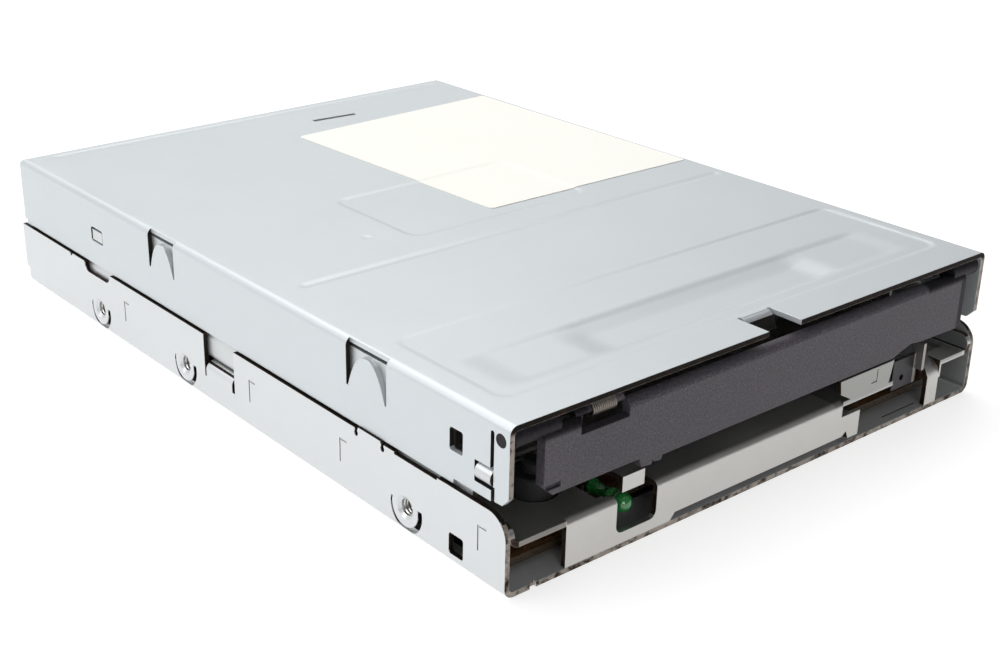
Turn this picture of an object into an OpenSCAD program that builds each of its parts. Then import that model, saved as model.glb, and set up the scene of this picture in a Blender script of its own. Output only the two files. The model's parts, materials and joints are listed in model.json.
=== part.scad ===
// Internal 3.5 inch floppy disk drive, shown without its front bezel and eject button.
// Millimetres. The front faces -Y, the drive's left side is -X, and +Z is up.
// The origin is the centre of the drive's underside.

/* [Case] */
// Overall width
case_w = 101.6; // [100:0.1:106]
// Overall depth
case_l = 141.8; // [141:0.1:160]
// Overall height
case_h = 24.8; // [24.6:0.1:28]
// Thickness of the pressed sheet steel
sheet_t = 0.8; // [0.7:0.05:0.9]
// Outer radius of the long bends
bend_r = 1.6; // [1.2:0.1:2]
// Height of the base pan's side walls
pan_wall_h = 11.9; // [11.5:0.1:12.2]
// Radius of the pan's front upper corners
pan_corner_r = 3.5; // [2:0.1:4.5]
// How far the cover's walls stand in from the pan's walls
cover_step = 0.4; // [0.3:0.05:0.5]
// Open seam between the pan's walls and the cover's walls
seam_gap = 0.4; // [0.2:0.05:0.6]

/* [Fixing holes] */
// First side hole, from the front edge
side_hole_first = 21; // [20:0.1:22]
// Middle side hole, behind the first
side_hole_middle = 60; // [58:0.1:62]
// Last side hole, behind the middle one
side_hole_last = 30; // [28:0.1:31]
// Height of the side holes
side_hole_z = 4.2; // [4:0.05:4.4]
// Inner radius of the M3 threads
thread_r = 1.25; // [1.2:0.01:1.3]
// Length of the pressed thread collars
collar_l = 2.2; // [2:0.1:2.4]
// Outer radius of the pressed thread collars
collar_r = 2.3; // [2.1:0.1:2.5]
// First underside hole, from the front edge
base_hole_first = 31; // [30:0.1:32]
// Spacing of the underside holes along the drive
base_hole_pitch_y = 70; // [68:0.1:72]
// Spacing of the underside holes across the drive
base_hole_pitch_x = 80; // [78:0.1:82]

/* [Deck] */
// Height of the deck's underside
deck_z = 7.2; // [7.1:0.05:7.3]
// Height of the deck's side walls
deck_wall_h = 23.4; // [23:0.1:23.7]
// Left end of the front lip, from the middle
lip_left = 40.2; // [39:0.1:41]
// Right end of the front lip, from the middle
lip_right = 21.6; // [21:0.1:22]
// Outer bend radius of the lip
lip_bend_r = 1.0; // [0.9:0.05:1.2]

/* [Disk and its holder] */
// Width of the disk case that the holder takes
disk_w = 90; // [89.8:0.1:90.2]
// Depth of the disk case
disk_l = 94; // [93.8:0.1:94.2]
// Side play of the disk in the holder
disk_play = 0.6; // [0.4:0.05:0.7]
// Clear height inside the holder
slot_h = 4.3; // [4.1:0.05:4.4]
// Height of the holder's rails when raised
rail_z = 14; // [13.9:0.05:14.1]
// How far the holder drops when a disk is loaded
cage_drop = 2.6; // [2.4:0.05:2.7]
// Thickness of the holder's and slider's sheet
thin_t = 0.6; // [0.5:0.05:0.7]
// Radius of the holder's pins
cage_pin_r = 1; // [0.9:0.05:1.1]

/* [Door] */
// Pivot, from the front edge
door_pivot_d = 1.76; // [1.7:0.01:1.9]
// Height of the pivot
door_pivot_z = 22.34; // [22.2:0.01:22.4]
// Radius of the pivot pins
door_pin_r = 0.95; // [0.9:0.01:1]
// Height of the door's lower edge at its ends
door_low_z = 12.9; // [12.7:0.05:13.2]
// Height of the door's lower edge in the middle
door_mid_z = 12.1; // [12:0.05:12.4]
// Thickness of the door
door_t = 1.6; // [1.5:0.05:1.65]
// Left end of the door, from the middle
door_left = 44.5; // [44:0.1:45.3]
// Right end of the door, from the middle
door_right = 45.9; // [45:0.1:46.2]

/* [Spindle] */
// Spindle centre, from the front edge
spindle_d = 46.9; // [46.5:0.1:47.5]
// Radius of the spindle shaft
shaft_r = 2; // [1.95:0.01:2.05]
// Running clearance of shafts and rods in their bores
run_gap = 0.04; // [0.02:0.01:0.06]
// Radius of the hub's table
hub_r = 12.5; // [12:0.1:13]
// Height of the hub's table
hub_z = 11.7; // [11.65:0.05:11.9]
// Outer radius of the rotor cup
rotor_r = 26; // [25.5:0.1:26.5]
// Number of stator teeth
stator_teeth = 12; // [9:3:15]

/* [Heads] */
// Radius of the outermost track
track_zero_r = 39.5; // [39:0.1:40]
// Length of the head's stroke
head_stroke = 14.8; // [14:0.1:15]
// Angle by which the upper arm is lifted
arm_lift = 8.8; // [8.6:0.05:9]
// Radius of the guide rod
rod_r = 1.5; // [1.4:0.05:1.6]
// Radius of the lead screw
screw_r = 1.5; // [1.4:0.05:1.6]
// Radius of the stepper motor
stepper_r = 7; // [6.8:0.1:7.1]

/* [Circuit board] */
// Thickness of the main board
board_t = 1.2; // [1:0.1:1.4]
// Height of the pressed board stands above the pan's floor
board_lift = 1; // [0.9:0.05:1.1]
// Pin spacing of the signal header
header_pitch = 2.54; // [2:0.01:2.54]
// Pins in each row of the signal header
header_pins = 17; // [10:1:17]
// Pin spacing of the power header
power_pitch = 2.5; // [2.5:0.01:2.54]

/* [Springs] */
// Wire radius of the small springs
spring_wire_r = 0.15; // [0.12:0.01:0.18]
// Wire radius of the slider's springs
slider_wire_r = 0.2; // [0.18:0.01:0.22]
// Curls in each slider spring
slider_curls = 15; // [12:1:18]

/* [Hidden] */

$fn = 48;
// Overshoot of a cut past the face it opens
eps = 0.1;
// Air left between bodies that pass each other
air = 0.3;

front_y = -case_l / 2;
back_y = case_l / 2;
side_x = case_w / 2;
pan_in_x = side_x - sheet_t;
cover_x = side_x - cover_step;
cover_in_x = cover_x - sheet_t;
cover_low_z = pan_wall_h + seam_gap;
cover_in_z = case_h - sheet_t;
cover_front_y = front_y + 0.1;
cover_back_y = back_y - 0.5;
deck_top = deck_z + sheet_t;
deck_wall_x = cover_in_x;
deck_wall_in_x = deck_wall_x - sheet_t;
bend_in_r = bend_r - sheet_t;

// Holder, slider and their pins
cage_in_x = disk_w / 2 + disk_play;
cage_x = cage_in_x + thin_t;
cage_top_z = rail_z + slot_h;
cage_front_y = front_y + 13.4;
cage_back_y = front_y + 96.4;
stop_y = front_y + spindle_d + disk_l - 48.6;
slider_z = deck_top + air;
slider_top = slider_z + thin_t;
slider_in_x = cage_x + 0.7;
slider_x = slider_in_x + thin_t;
slider_travel = 5.5;
slider_front_y = front_y + 17;
slider_l = 62;
guide_ds = [19.4, 69.4];
spring_front_y = front_y + 29.9;
spring_back_y = front_y + 60;
cage_pin_z = rail_z + slot_h / 2;
cage_pin_d = [24, 64];
pin_slot_r = cage_pin_r + 0.12;

// Door
door_y = front_y;
pivot_y = front_y + door_pivot_d;
door_top_z = door_pivot_z - 0.1;

// Spindle
spindle_y = front_y + spindle_d;
floor_z = sheet_t;
rotor_z = floor_z + 0.4;
rotor_t = 0.7;
motor_plate_z = deck_z - sheet_t;
bearing_r = 5;
bearing_top = hub_z - 1.7;
hub_t = 1.4;
pin_circle_r = 10;
drive_pin_r = 1;

// Heads, rod and lead screw
head_y = spindle_y + track_zero_r;
body_front_y = head_y + 22;
body_l = 10.5;
rod_x = -12;
rod_z = deck_top + air + 0.9 + rod_r;
sleeve_y = body_front_y + 3.3;
sleeve_l = 10.5;
screw_x = 13;
screw_z = deck_top + 0.5 + stepper_r;
hinge_y = body_front_y + 8.5;
hinge_z = 17.3;
arm_t = 1;
media_z = 13.3;
bracket_y = body_front_y + 11.8;
screw_front_y = head_y + 11.5;
screw_journal_r = 0.9;
clamp_w = 3.6;
rod_front_y = sleeve_y - head_stroke - clamp_w - 1;
rod_back_y = sleeve_y + sleeve_l + clamp_w + 1;
clamp_ys = [rod_front_y + clamp_w / 2 + 0.3, rod_back_y - clamp_w / 2 - 0.3];
clamp_foot_top = deck_top + 0.8;
bracket_screw_dx = [10.6, 15.2];
deck_screw_points = [
  for (dx = bracket_screw_dx) [screw_x + dx, bracket_y + 3.8, deck_top + 1],
  for (y = clamp_ys) [rod_x - 5.4, y, clamp_foot_top],
  [screw_x + 4.2, screw_front_y - 1.4, deck_top + 0.9]
];

// Board
board_z = floor_z + board_lift;
board_top = board_z + board_t;
board_x = pan_in_x - 2.4;
board_front_y = front_y + 3.6;
board_back_y = back_y - 1.5;
stand_x = board_x - 5.6;
stand_points = [for (d = [18, 80, case_l - 9.8], side = [-1, 1]) [side * stand_x, d]];
header_x = -8;
header_l = header_pins * header_pitch + 1.2;
header_y = back_y - 9.4;
power_x = 32;

// Where the switches stand, from the middle and from the front edge
left_switch_x = -38;
left_switch_d = 9.2;
left_switch_r = 3.3;
right_switch_x = 42.6;
right_switch_d = 8.7;
right_plunger_pitch = 3.4;
plunger_travel = 1.5;
plunger_top = hub_z + 1.1;

// Box between a low and a high corner
module span(lo, hi) {
  translate(lo) cube(hi - lo);
}

// Outline in the YZ plane, extruded from x0 to x1
module wall_yz(x0, x1) {
  translate([x0, 0, 0]) rotate([90, 0, 90]) linear_extrude(x1 - x0) children();
}

// Outline in the XZ plane, extruded from y0 to y1
module wall_xz(y0, y1) {
  translate([0, y1, 0]) rotate([90, 0, 0]) linear_extrude(y1 - y0) children();
}

// Round bars along each axis
module bar_x(r, x0, x1, y, z) {
  translate([x0, y, z]) rotate([0, 90, 0]) cylinder(r = r, h = x1 - x0);
}

module bar_y(r, y0, y1, x, z) {
  translate([x, y0, z]) rotate([-90, 0, 0]) cylinder(r = r, h = y1 - y0);
}

module bar_z(r, z0, z1, x, y) {
  translate([x, y, z0]) cylinder(r = r, h = z1 - z0);
}

// The same shape on the left and on the right
module both_sides() {
  children();
  mirror([1, 0, 0]) children();
}

// Upright channel outline with its two lower corners rounded
module tub(w, h, r) {
  translate([-w / 2, r]) square([w, h - r]);
  translate([-w / 2 + r, 0]) square([w - 2 * r, h]);
  for (side = [-1, 1]) translate([side * (w / 2 - r), r]) circle(r);
}

// Square with rounded corners, centred
module round_rect(w, h, r) {
  square([w - 2 * r, h], center = true);
  square([w, h - 2 * r], center = true);
  for (sx = [-1, 1], sy = [-1, 1]) translate([sx * (w / 2 - r), sy * (h / 2 - r)]) circle(r);
}

// Straight slot between two points of a plane, with round ends
module slot_2d(from, to, r) {
  run = to - from;
  side = r - 0.003;
  translate(from) circle(r);
  translate(to) circle(r);
  translate(from) rotate(atan2(run[1], run[0])) translate([0, -side]) square([norm(run), 2 * side]);
}

// Half of a round-cornered cut that takes the corner off a plate
module corner_off(r) {
  difference() {
    translate([-eps, -eps]) square(r + eps);
    translate([r, r]) circle(r);
  }
}

// Unit vector along v
function unit(v) = v / norm(v);

// Six-sided wire swept along a path that never runs parallel to +Z
module wire(path, r) {
  sides = 6;
  last = len(path) - 1;
  tangents = [for (i = [0:last]) unit(path[min(i + 1, last)] - path[max(i - 1, 0)])];
  rings = [for (i = [0:last])
    let (across = unit(cross(tangents[i], [0, 0, 1])), up = cross(across, tangents[i]))
    for (k = [0:sides - 1])
      path[i] + r * (cos(60 * k) * across + sin(60 * k) * up)];
  skin = [for (i = [0:last - 1], k = [0:sides - 1])
    let (a = i * sides + k, b = i * sides + (k + 1) % sides)
    each [[a, b, a + sides], [b, b + sides, a + sides]]];
  caps = [for (k = [1:sides - 2])
    each [[0, k + 1, k], [last * sides, last * sides + k, last * sides + k + 1]]];
  polyhedron(points = rings, faces = concat(skin, caps));
}

// Centreline of a spring about +Z with straight legs square to its ends
function coil_path(curls, r, pitch, leg, end_leg) = concat(
  [[r, -leg, 0]],
  [for (i = [0:8 * curls]) [r * cos(45 * i), r * sin(45 * i), pitch * i / 8]],
  [[r, end_leg, pitch * curls]]
);

// Least open gap between points of a wire that lie more than half a curl apart
function self_gap(path, r) = min([for (i = [0:len(path) - 6], j = [i + 5:len(path) - 1])
  norm(path[i] - path[j])]) - 2 * r;

// Pocket with sloping sides, pressed down from a top face at z
module pressed_pocket(lo, hi, z, depth, run) {
  intersection() {
    wall_xz(lo[1] - eps, hi[1] + eps)
      polygon([[lo[0], z], [lo[0] + run[0], z - depth], [hi[0] - run[0], z - depth], [hi[0], z]]);
    wall_yz(lo[0] - eps, hi[0] + eps)
      polygon([[lo[1], z], [lo[1] + run[1], z - depth], [hi[1] - run[1], z - depth], [hi[1], z]]);
  }
}

// Threaded collar pressed inwards round a side hole, and the hole through it
module side_collar(d) {
  bar_x(collar_r, side_x - collar_l, side_x - sheet_t / 2, front_y + d, side_hole_z);
}

module side_hole(d) {
  y = front_y + d;
  rim_r = thread_r + 0.6;
  bar_x(thread_r, side_x - collar_l - eps, side_x + eps, y, side_hole_z);
  translate([side_x - 0.4, y, side_hole_z]) rotate([0, 90, 0])
    cylinder(r1 = thread_r, r2 = rim_r, h = 0.4);
  translate([side_x, y, side_hole_z]) rotate([0, 90, 0]) cylinder(r = rim_r, h = eps);
  // Curved slit that lets the collar's lower half flex
  wall_yz(side_x - sheet_t - eps, side_x + eps) translate([y, side_hole_z]) difference() {
    translate([-0.3, -0.1]) circle(3.55);
    circle(2.9);
    translate([-5, 0.8]) square([10, 5]);
  }
}

side_hole_ds = [
  side_hole_first,
  side_hole_first + side_hole_middle,
  side_hole_first + side_hole_middle + side_hole_last
];

// Cuts in the upper edge and face of one side wall of the pan, by distance from the front
module pan_wall_cuts() {
  top = pan_wall_h;
  wall_yz(side_x - sheet_t - eps, side_x + eps) translate([front_y, 0]) {
    // Square window near the front
    translate([9.9, 3.4]) round_rect(3, 3.2, 0.4);
    // Twin nicks beside the raised tab, and the lower stretch in front of them
    for (d = nick_ds) {
      translate([d, top - 0.7]) circle(nick_r);
      translate([d - 0.3, top - 0.7]) square([0.6, 1]);
    }
    translate([14, top - 0.35]) square([9.4, 1]);
    // Deep notch in front of the middle hole
    translate([pan_notch_d, pan_notch_z]) square([pan_notch_l, top]);
    // Shallow rounded dip behind the middle hole
    translate([106.7 + 1.4, top]) slot_2d([0, 0], [6.3, 0], 1.7);
    // Small nick near the back
    translate([121.3, top]) circle(0.5, $fn = 16);
  }
}

nick_ds = [26.1, 32.3];
nick_r = 0.45;
pan_notch_d = 65.2;
pan_notch_l = 9.1;
pan_notch_z = 4.6;

// Shelf folded in from the deep notch, under the deck, and the raised tab of the upper edge
module pan_wall_tabs() {
  fold_r = 1.5;
  y0 = front_y + pan_notch_d + 0.8;
  y1 = y0 + pan_notch_l - 1.2;
  wall_xz(y0, y1) difference() {
    union() {
      translate([side_x - fold_r, deck_z - fold_r]) circle(fold_r);
      translate([side_x - sheet_t, pan_notch_z - 0.6]) square([sheet_t, deck_z - fold_r - pan_notch_z + 0.6]);
      translate([side_x - 4.6, deck_z - sheet_t]) square([4.6 - fold_r, sheet_t]);
    }
    translate([side_x - fold_r, deck_z - fold_r]) circle(fold_r - sheet_t);
    translate([side_x - 4.6, 0]) square([4.6 - fold_r, deck_z - sheet_t]);
    translate([side_x - fold_r - eps, 0]) square([fold_r - sheet_t + eps, deck_z - fold_r]);
  }
  span([side_x - sheet_t, front_y + nick_ds[0] + nick_r, pan_wall_h - 1],
    [side_x, front_y + nick_ds[1] - nick_r, pan_wall_h + 0.3]);
}

// Faint angled score marks on the walls
module pan_wall_marks() {
  for (d = [5.3, 36.2, 60.6, 101.2], s = [[0, 0.25, 5], [-1.5, 0.25, 8.55]])
    span([side_x - 0.12, front_y + d + s[0], s[2]], [side_x + eps, front_y + d + s[1], 8.8]);
}

// Relief slits where the side walls fold up from the floor
module pan_fold_slits() {
  for (s = [[4.2, 5.9], [25.6, 36.7], [70.5, 73.7], [98.1, 102.9], [115.1, 121.4]])
    span([side_x - bend_r, front_y + s[0], -eps], [side_x + eps, front_y + s[1], 0.35]);
}

module base_hole_at() {
  for (sx = [-1, 1], iy = [0, 1])
    translate([sx * base_hole_pitch_x / 2, front_y + base_hole_first + iy * base_hole_pitch_y, 0])
      children();
}

module board_stand_at() {
  for (p = stand_points) translate([p[0], front_y + p[1], 0]) children();
}

// Lower shell: floor and two side walls folded from one sheet
module base_pan() {
  color("lightgray") difference() {
    union() {
      wall_xz(front_y, back_y) difference() {
        tub(case_w, pan_wall_h, bend_r);
        translate([0, sheet_t]) tub(case_w - 2 * sheet_t, pan_wall_h, bend_in_r);
      }
      both_sides() for (d = side_hole_ds) side_collar(d);
      base_hole_at() cylinder(r = collar_r, h = collar_l);
      board_stand_at() cylinder(r = 3, h = board_z);
    }
    both_sides() {
      for (d = side_hole_ds) side_hole(d);
      pan_wall_cuts();
      pan_wall_marks();
      pan_fold_slits();
    }
    // Nick in the floor's front edge
    span([-46.4, front_y - eps, -eps], [-45.3, front_y + 0.5, sheet_t + eps]);
    base_hole_at() translate([0, 0, -eps]) cylinder(r = thread_r, h = collar_l + 2 * eps);
    board_stand_at() {
      translate([0, 0, -eps]) cylinder(r = 2.2, h = board_lift + eps);
      cylinder(r = 0.9, h = board_z + eps);
    }
    // Round front upper corners and stepped rear lower corners
    wall_yz(-side_x - eps, side_x + eps) {
      translate([front_y, pan_wall_h]) mirror([0, 1]) corner_off(pan_corner_r);
      translate([back_y - 1, -eps]) square([1 + eps, 3.4]);
    }
    // Long groove across the front right of the floor
    span([30, front_y + 1.5, sheet_t - 0.3], [38.7, front_y + 1.75, sheet_t + eps]);
  }
  color("lightgray") both_sides() pan_wall_tabs();
}

// Side outline of the deck's walls above the joggle, by distance from the front
module deck_wall_2d() {
  low = pan_wall_h;
  difference() {
    translate([front_y, 0]) union() {
      translate([8, low - 1]) square([case_l - 10, deck_wall_h - low + 1]);
      // Arm that reaches forward to the cover's front window
      translate([2.7, low + 1.9]) square([6, 4.6]);
    }
    // Opening behind the cover's small front window
    translate([front_y + 10, 16.6]) square([2.6, 4.2]);
    // Upright slots that guide the holder's pins
    for (d = cage_pin_d)
      slot_2d([front_y + d, cage_pin_z - cage_drop], [front_y + d, cage_pin_z], pin_slot_r);
    // Windows that lighten the wall
    translate([front_y + 118, 17]) round_rect(26, 7, 1.5);
    translate([front_y + 86, 17.5]) round_rect(18, 6, 1.5);
    translate([front_y + 8, deck_wall_h]) mirror([0, 1]) corner_off(2);
    translate([back_y - 2, deck_wall_h]) mirror([1, 0]) mirror([0, 1]) corner_off(4);
  }
}

// Openings in the deck's floor
module deck_openings() {
  z0 = deck_z - eps;
  z1 = deck_top + eps;
  bar_z(bearing_r + 0.4, z0, z1, 0, spindle_y);
  // Lower head and its ribbon
  span([-8, head_y - head_stroke - 5, z0], [5, body_front_y + 2, z1]);
  span([cable_x0 - 1, body_front_y + 13.1, z0], [cable_x1 + 1, body_front_y + 21, z1]);
  // Switches
  bar_z(left_switch_r + 0.4, z0, z1, left_switch_x, front_y + left_switch_d);
  span([38.4, front_y + 3.4, z0], [47, front_y + 13.9, z1]);
  // Room for the rear headers
  span([header_x - 27, header_y - 5.3, z0], [power_x + 10, back_y + eps, z1]);
  // Screw holes
  for (p = deck_screw_points) bar_z(0.95, z0, z1, p[0], p[1]);
  translate([0, spindle_y, 0]) for (a = motor_lobes) rotate(a) bar_z(0.95, z0, z1, motor_lobe_r, 0);
  // Gap that the eject slider's nose passes through
  span([29.4, front_y - eps, z0 - lip_bend_r], [38.3, front_y + 5, z1]);
  // Opening over the indicator
  span([-33, front_y + lip_bend_r, z0], [-23.2, front_y + 9, z1]);
  span([-31, front_y - eps, z0 - lip_bend_r], [-23.4, front_y + lip_bend_r + eps, z1]);
  // Room for the bend of the leg
  span([38.2, front_y - eps, z0], [leg_x1, front_y + leg_bend, z1]);
}

leg_x0 = 38.9;
leg_x1 = 41.9;
leg_bend = 2.6;

// Leg bent down from the deck to the pan's floor
module deck_leg() {
  wall_yz(leg_x0, leg_x1) translate([front_y, 0]) polygon([
    [leg_bend, deck_top], [1.5, deck_top - 0.3], [0.6, deck_top - 1], [0, deck_top - 2.2], [0, floor_z],
    [sheet_t, floor_z], [sheet_t, deck_top - 2.4], [1.3, deck_top - 1.6], [1.9, deck_z - 0.2], [leg_bend, deck_z]
  ]);
  span([leg_x1, front_y, 5], [leg_x1 + 0.4, front_y + sheet_t, deck_z + 0.2]);
}

// Light shield arched over the indicator, its front end folded down
module light_shield() {
  top = 10.8;
  for (part = [[0.4, 0.4 + sheet_t, 8.4], [0.4, 9 + sheet_t, top - sheet_t], [9, 9 + sheet_t, deck_z]])
    span([-29.7, front_y + part[0], part[2]], [-25.5, front_y + part[1], top]);
}

// Front lip with its bend, before its cut-outs
module deck_lip() {
  wall_yz(-lip_left, lip_right) translate([front_y, 0]) difference() {
    union() {
      translate([0, floor_z]) square([sheet_t, deck_top - lip_bend_r - floor_z]);
      translate([lip_bend_r, deck_top - lip_bend_r]) circle(lip_bend_r);
      translate([lip_bend_r, deck_z]) square([1, sheet_t]);
    }
    translate([lip_bend_r, deck_top - lip_bend_r]) circle(lip_bend_r - sheet_t, $fn = 16);
    translate([sheet_t, floor_z]) square([2, deck_z - floor_z]);
    translate([lip_bend_r + 1, deck_z]) square([1, 1]);
  }
}

// Cut-outs in the front lip
module lip_cuts() {
  y0 = front_y - eps;
  y1 = front_y + lip_bend_r + 0.6;
  // Indicator notch with rounded lower corners, open at the top
  wall_xz(y0, y1) translate([-30.9, 2.5]) {
    translate([0, 1.2]) square([7.7, 6]);
    translate([1.2, 0]) square([5.3, 3]);
    for (x = [1.2, 6.5]) translate([x, 1.2]) circle(1.2);
  }
  // Raised lower edge with a sloping start
  wall_xz(y0, y1) polygon([[-21, 0], [-19.3, 1.9], [17.6, 1.9], [18.6, 2.6], [19.2, 1.2], [22, 1.2], [22, 0]]);
  // Step at the right end of the bend
  span([17.1, y0, 5.4], [lip_right + eps, y1, deck_top + eps]);
}

// Middle frame: deck, front lip and side walls with their joggle
module deck_frame() {
  joggle_z = pan_wall_h - 0.9;
  front_wall_z = deck_z + 3.1;
  color("silver") difference() {
    union() {
      difference() {
        union() {
          // Deck with its sides folded up against the pan's walls
          wall_xz(front_y, back_y - 1.5) translate([0, deck_z]) difference() {
            tub(2 * pan_in_x, joggle_z - deck_z, bend_r);
            translate([0, sheet_t]) tub(2 * (pan_in_x - sheet_t), joggle_z, bend_in_r);
          }
          both_sides() {
            wall_yz(deck_wall_in_x, deck_wall_x) deck_wall_2d();
            // Joggle between the lower and the upper wall
            wall_xz(front_y + 8, back_y - 2) polygon([
              [pan_in_x - sheet_t, joggle_z], [pan_in_x, joggle_z],
              [deck_wall_x, joggle_z + 0.8], [deck_wall_in_x, joggle_z + 0.8]
            ]);
          }
        }
        deck_openings();
        span([-lip_left, front_y - eps, deck_z - eps],
          [17.1, front_y + lip_bend_r, deck_top + eps]);
        // Lower side walls at the front, with a rounded step
        both_sides() wall_yz(deck_wall_in_x - 3, pan_in_x + eps) {
          translate([front_y - eps, front_wall_z]) square([8 + eps, 2]);
          translate([front_y - eps, front_wall_z - 1.6]) difference() {
            square(1.6 + eps);
            translate([1.6 + eps, 0]) circle(1.6);
          }
        }
      }
      difference() {
        deck_lip();
        lip_cuts();
      }
      light_shield();
      deck_leg();
      // Bright upstand right of the lip
      wall_xz(front_y, front_y + sheet_t)
        polygon([[18.8, deck_z], [18.8, deck_top], [16.3, deck_top + 1.4], [15.9, deck_top + 3.7],
            [29, deck_top + 3.7], [28.2, deck_top], [28.2, deck_z]]);
      // Hooks for the slider's springs
      both_sides() span([42.2, spring_front_y - sheet_t, deck_z], [43.8, spring_front_y, deck_top + 2.4]);
      both_sides() {
        // Snap bulge in the cover's front window
        bar_y(1.3, front_y + 3.4, front_y + 6.5, deck_wall_in_x + 0.6, 16.1);
        // Locating tab in the cover's rear window
        span([deck_wall_x - 0.2, front_y + 109, 17], [cover_x - 0.1, front_y + 112.6, 18.9]);
      }
    }
    // Angled score mark on the upstand
    for (mark = [[24.85, 11.3], [23.7, 9.4]])
      span([mark[0], front_y - eps, 9.15], [25.1, front_y + 0.12, mark[1]]);
    // Keep the snap bulges outside the walls
    both_sides() span([deck_wall_in_x - 3, front_y + 2, 14], [deck_wall_in_x, front_y + 8, 18.2]);
  }
}

// Tongue of a spring clip, by distance from the front, and the opening round it
module clip_window(d, half_w, low_z) {
  tip_z = case_h - 1.7;
  steps = 24;
  wall_yz(cover_in_x - 0.3, cover_x + eps) translate([front_y + d, 0]) difference() {
    translate([-half_w, low_z]) square([2 * half_w, cover_in_z - low_z]);
    polygon([for (i = [0:steps])
      let (w = 2 * i / steps - 1) [(half_w - 0.4) * w, tip_z - (tip_z - low_z) * pow(abs(w), 2.5)]]);
  }
  span([cover_x - 0.75, front_y + d - half_w, cover_in_z - eps], [cover_x + eps, front_y + d + half_w, case_h + eps]);
}

// Openings in one side wall of the cover
module cover_wall_cuts() {
  clip_window(30.3, 4.7, 17.7);
  clip_window(87.55, 4.15, 18.2);
  wall_yz(cover_in_x - 0.3, cover_x + eps) translate([front_y, 0]) {
    translate([10.55, 18.7]) round_rect(2.7, 3.4, 0.4);
    translate([110.8, 18.05]) round_rect(4.2, 2.7, 0.4);
    translate([3.1, 14.6]) square([3.7, 3.1]);
    // Slit that frees the strip round the door's pivot
    translate([3.05, 17.6]) square([0.7, 5.2]);
    translate([3.4, 22.8]) circle(0.35, $fn = 16);
    translate([2.8, cover_low_z]) square([0.7, 2.9]);
  }
  bar_x(door_pin_r + run_gap, cover_in_x - eps, cover_x + eps, pivot_y, door_pivot_z);
}

// Solid that fills the cover's outer shape, drawn in by a wall thickness
module cover_block(inset) {
  half = cover_x - inset;
  top = case_h - inset;
  r = max(bend_r - inset, 0.3) * 0.75;
  intersection() {
    wall_xz(cover_front_y - 2 * inset, cover_back_y - inset)
      translate([0, top]) mirror([0, 1]) tub(2 * half, top - cover_low_z + 2 * inset, r);
    wall_yz(-half, half) difference() {
      translate([cover_front_y - 2 * inset, 0]) square([cover_back_y - cover_front_y + inset, top]);
      translate([cover_back_y - inset, top]) mirror([1, 0]) mirror([0, 1]) corner_off(r);
    }
  }
}

// Pressed shapes of the cover's top, cut down by d below the sheet's upper face
module cover_pressings(d) {
  z = case_h - d;
  w = d > 0 ? sheet_t : 0;
  // Corner distances, depth and slope: panel over the heads, long crease, wide front panel,
  // channel across it, the channel's deeper middle, and the rear crease
  for (p = [
    [[-18, 60.4], [20, 86], 0.3, [1, 1]],
    [[-45, 53.5], [48.3, 55.7], 0.25, [1.5, 1]],
    [[-46.3, 6.1], [48, 31.1], 0.25, [1, 1]],
    [[-43.4, 8.6], [42.6, 19.8], 0.8, [2.4, 3.4]],
    [[-28.4, 8.2], [25, 20], 1.4, [3.6, 4.4]],
    [[-46, case_l - 3.2], [46, case_l - 1.8], 0.2, [1, 0.6]]
  ])
    pressed_pocket([p[0][0] - w, front_y + p[0][1] - w], [p[1][0] + w, front_y + p[1][1] + w], z, p[2], p[3]);
}

notch_xs = [-2.2, 4.8];
notch_back = cover_front_y + 5.7;

// Folded and pressed sheet of the cover
module cover_shell() {
  difference() {
    union() {
      difference() {
        cover_block(0);
        cover_block(sheet_t);
      }
      intersection() {
        cover_pressings(sheet_t);
        span([-side_x, front_y, 0], [side_x, back_y, case_h]);
      }
    }
    cover_pressings(0);
    both_sides() cover_wall_cuts();
    // Raised and chamfered front ends of the side walls
    wall_yz(-side_x, side_x) translate([front_y, 0])
      polygon([[-1, 0], [-1, 14.6], [0.1, 14.6], [1.3, 13.3], [3.4, 13.2], [3.4, 13], [11, 13], [13, 0]]);
    // Rear wall ends above the headers, with relief at its corners
    span([-side_x, cover_back_y - sheet_t - eps, 0], [side_x, back_y, cover_low_z + 0.8]);
    both_sides() span([cover_in_x - 2.4, cover_back_y - sheet_t - eps, 0], [cover_in_x, back_y, case_h - 2.4]);
    // Front notch round the stop tab, with relief at its corners
    span([notch_xs[0], front_y - 1, cover_in_z - 1], [notch_xs[1], notch_back, case_h + 1]);
    for (x = [notch_xs[0] + 0.35, notch_xs[1] - 0.3]) bar_z(0.35, cover_in_z - 1, case_h + 1, x, notch_back);
    // Narrow slit near the back
    translate([13.4, front_y + 129.1, 0]) rotate([0, 0, -5]) translate([-5, -0.9, cover_in_z - eps])
      cube([10, 1.1, sheet_t + 2 * eps]);
  }
}

// Upper shell, with the stop tab bent steeply down behind the door's upper edge
module top_cover() {
  color("lightsteelblue") union() {
    cover_shell();
    wall_yz(notch_xs[0] + 0.7, notch_xs[1] - 0.6) translate([notch_back, case_h]) polygon([
      [0.2, 0], [-0.5, -0.15], [-1, -0.55], [-1.35, -1.2], [-1.55, -1.9], [-1.9, -2.4],
      [-1.2, -2.4], [-0.85, -1.9], [-0.65, -1.3], [-0.4, -0.95], [0.2, -sheet_t]
    ]);
  }
}

// Four posts that carry the loaded disk
module disk_posts() {
  color("gainsboro") both_sides() for (d = [31.5, 79]) {
    bar_z(1.6, deck_top, hub_z - 0.1, 36, front_y + d);
    bar_z(2.6, deck_top, deck_top + 0.8, 36, front_y + d);
  }
}

// Shoulder rivets that hold the eject slider down on the deck
module slider_guides() {
  color("silver") both_sides() for (d = guide_ds) {
    bar_z(1.1, deck_top, slider_top + 0.2, 43, front_y + d);
    bar_z(2, slider_top + 0.2, slider_top + 0.7, 43, front_y + d);
  }
}

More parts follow.
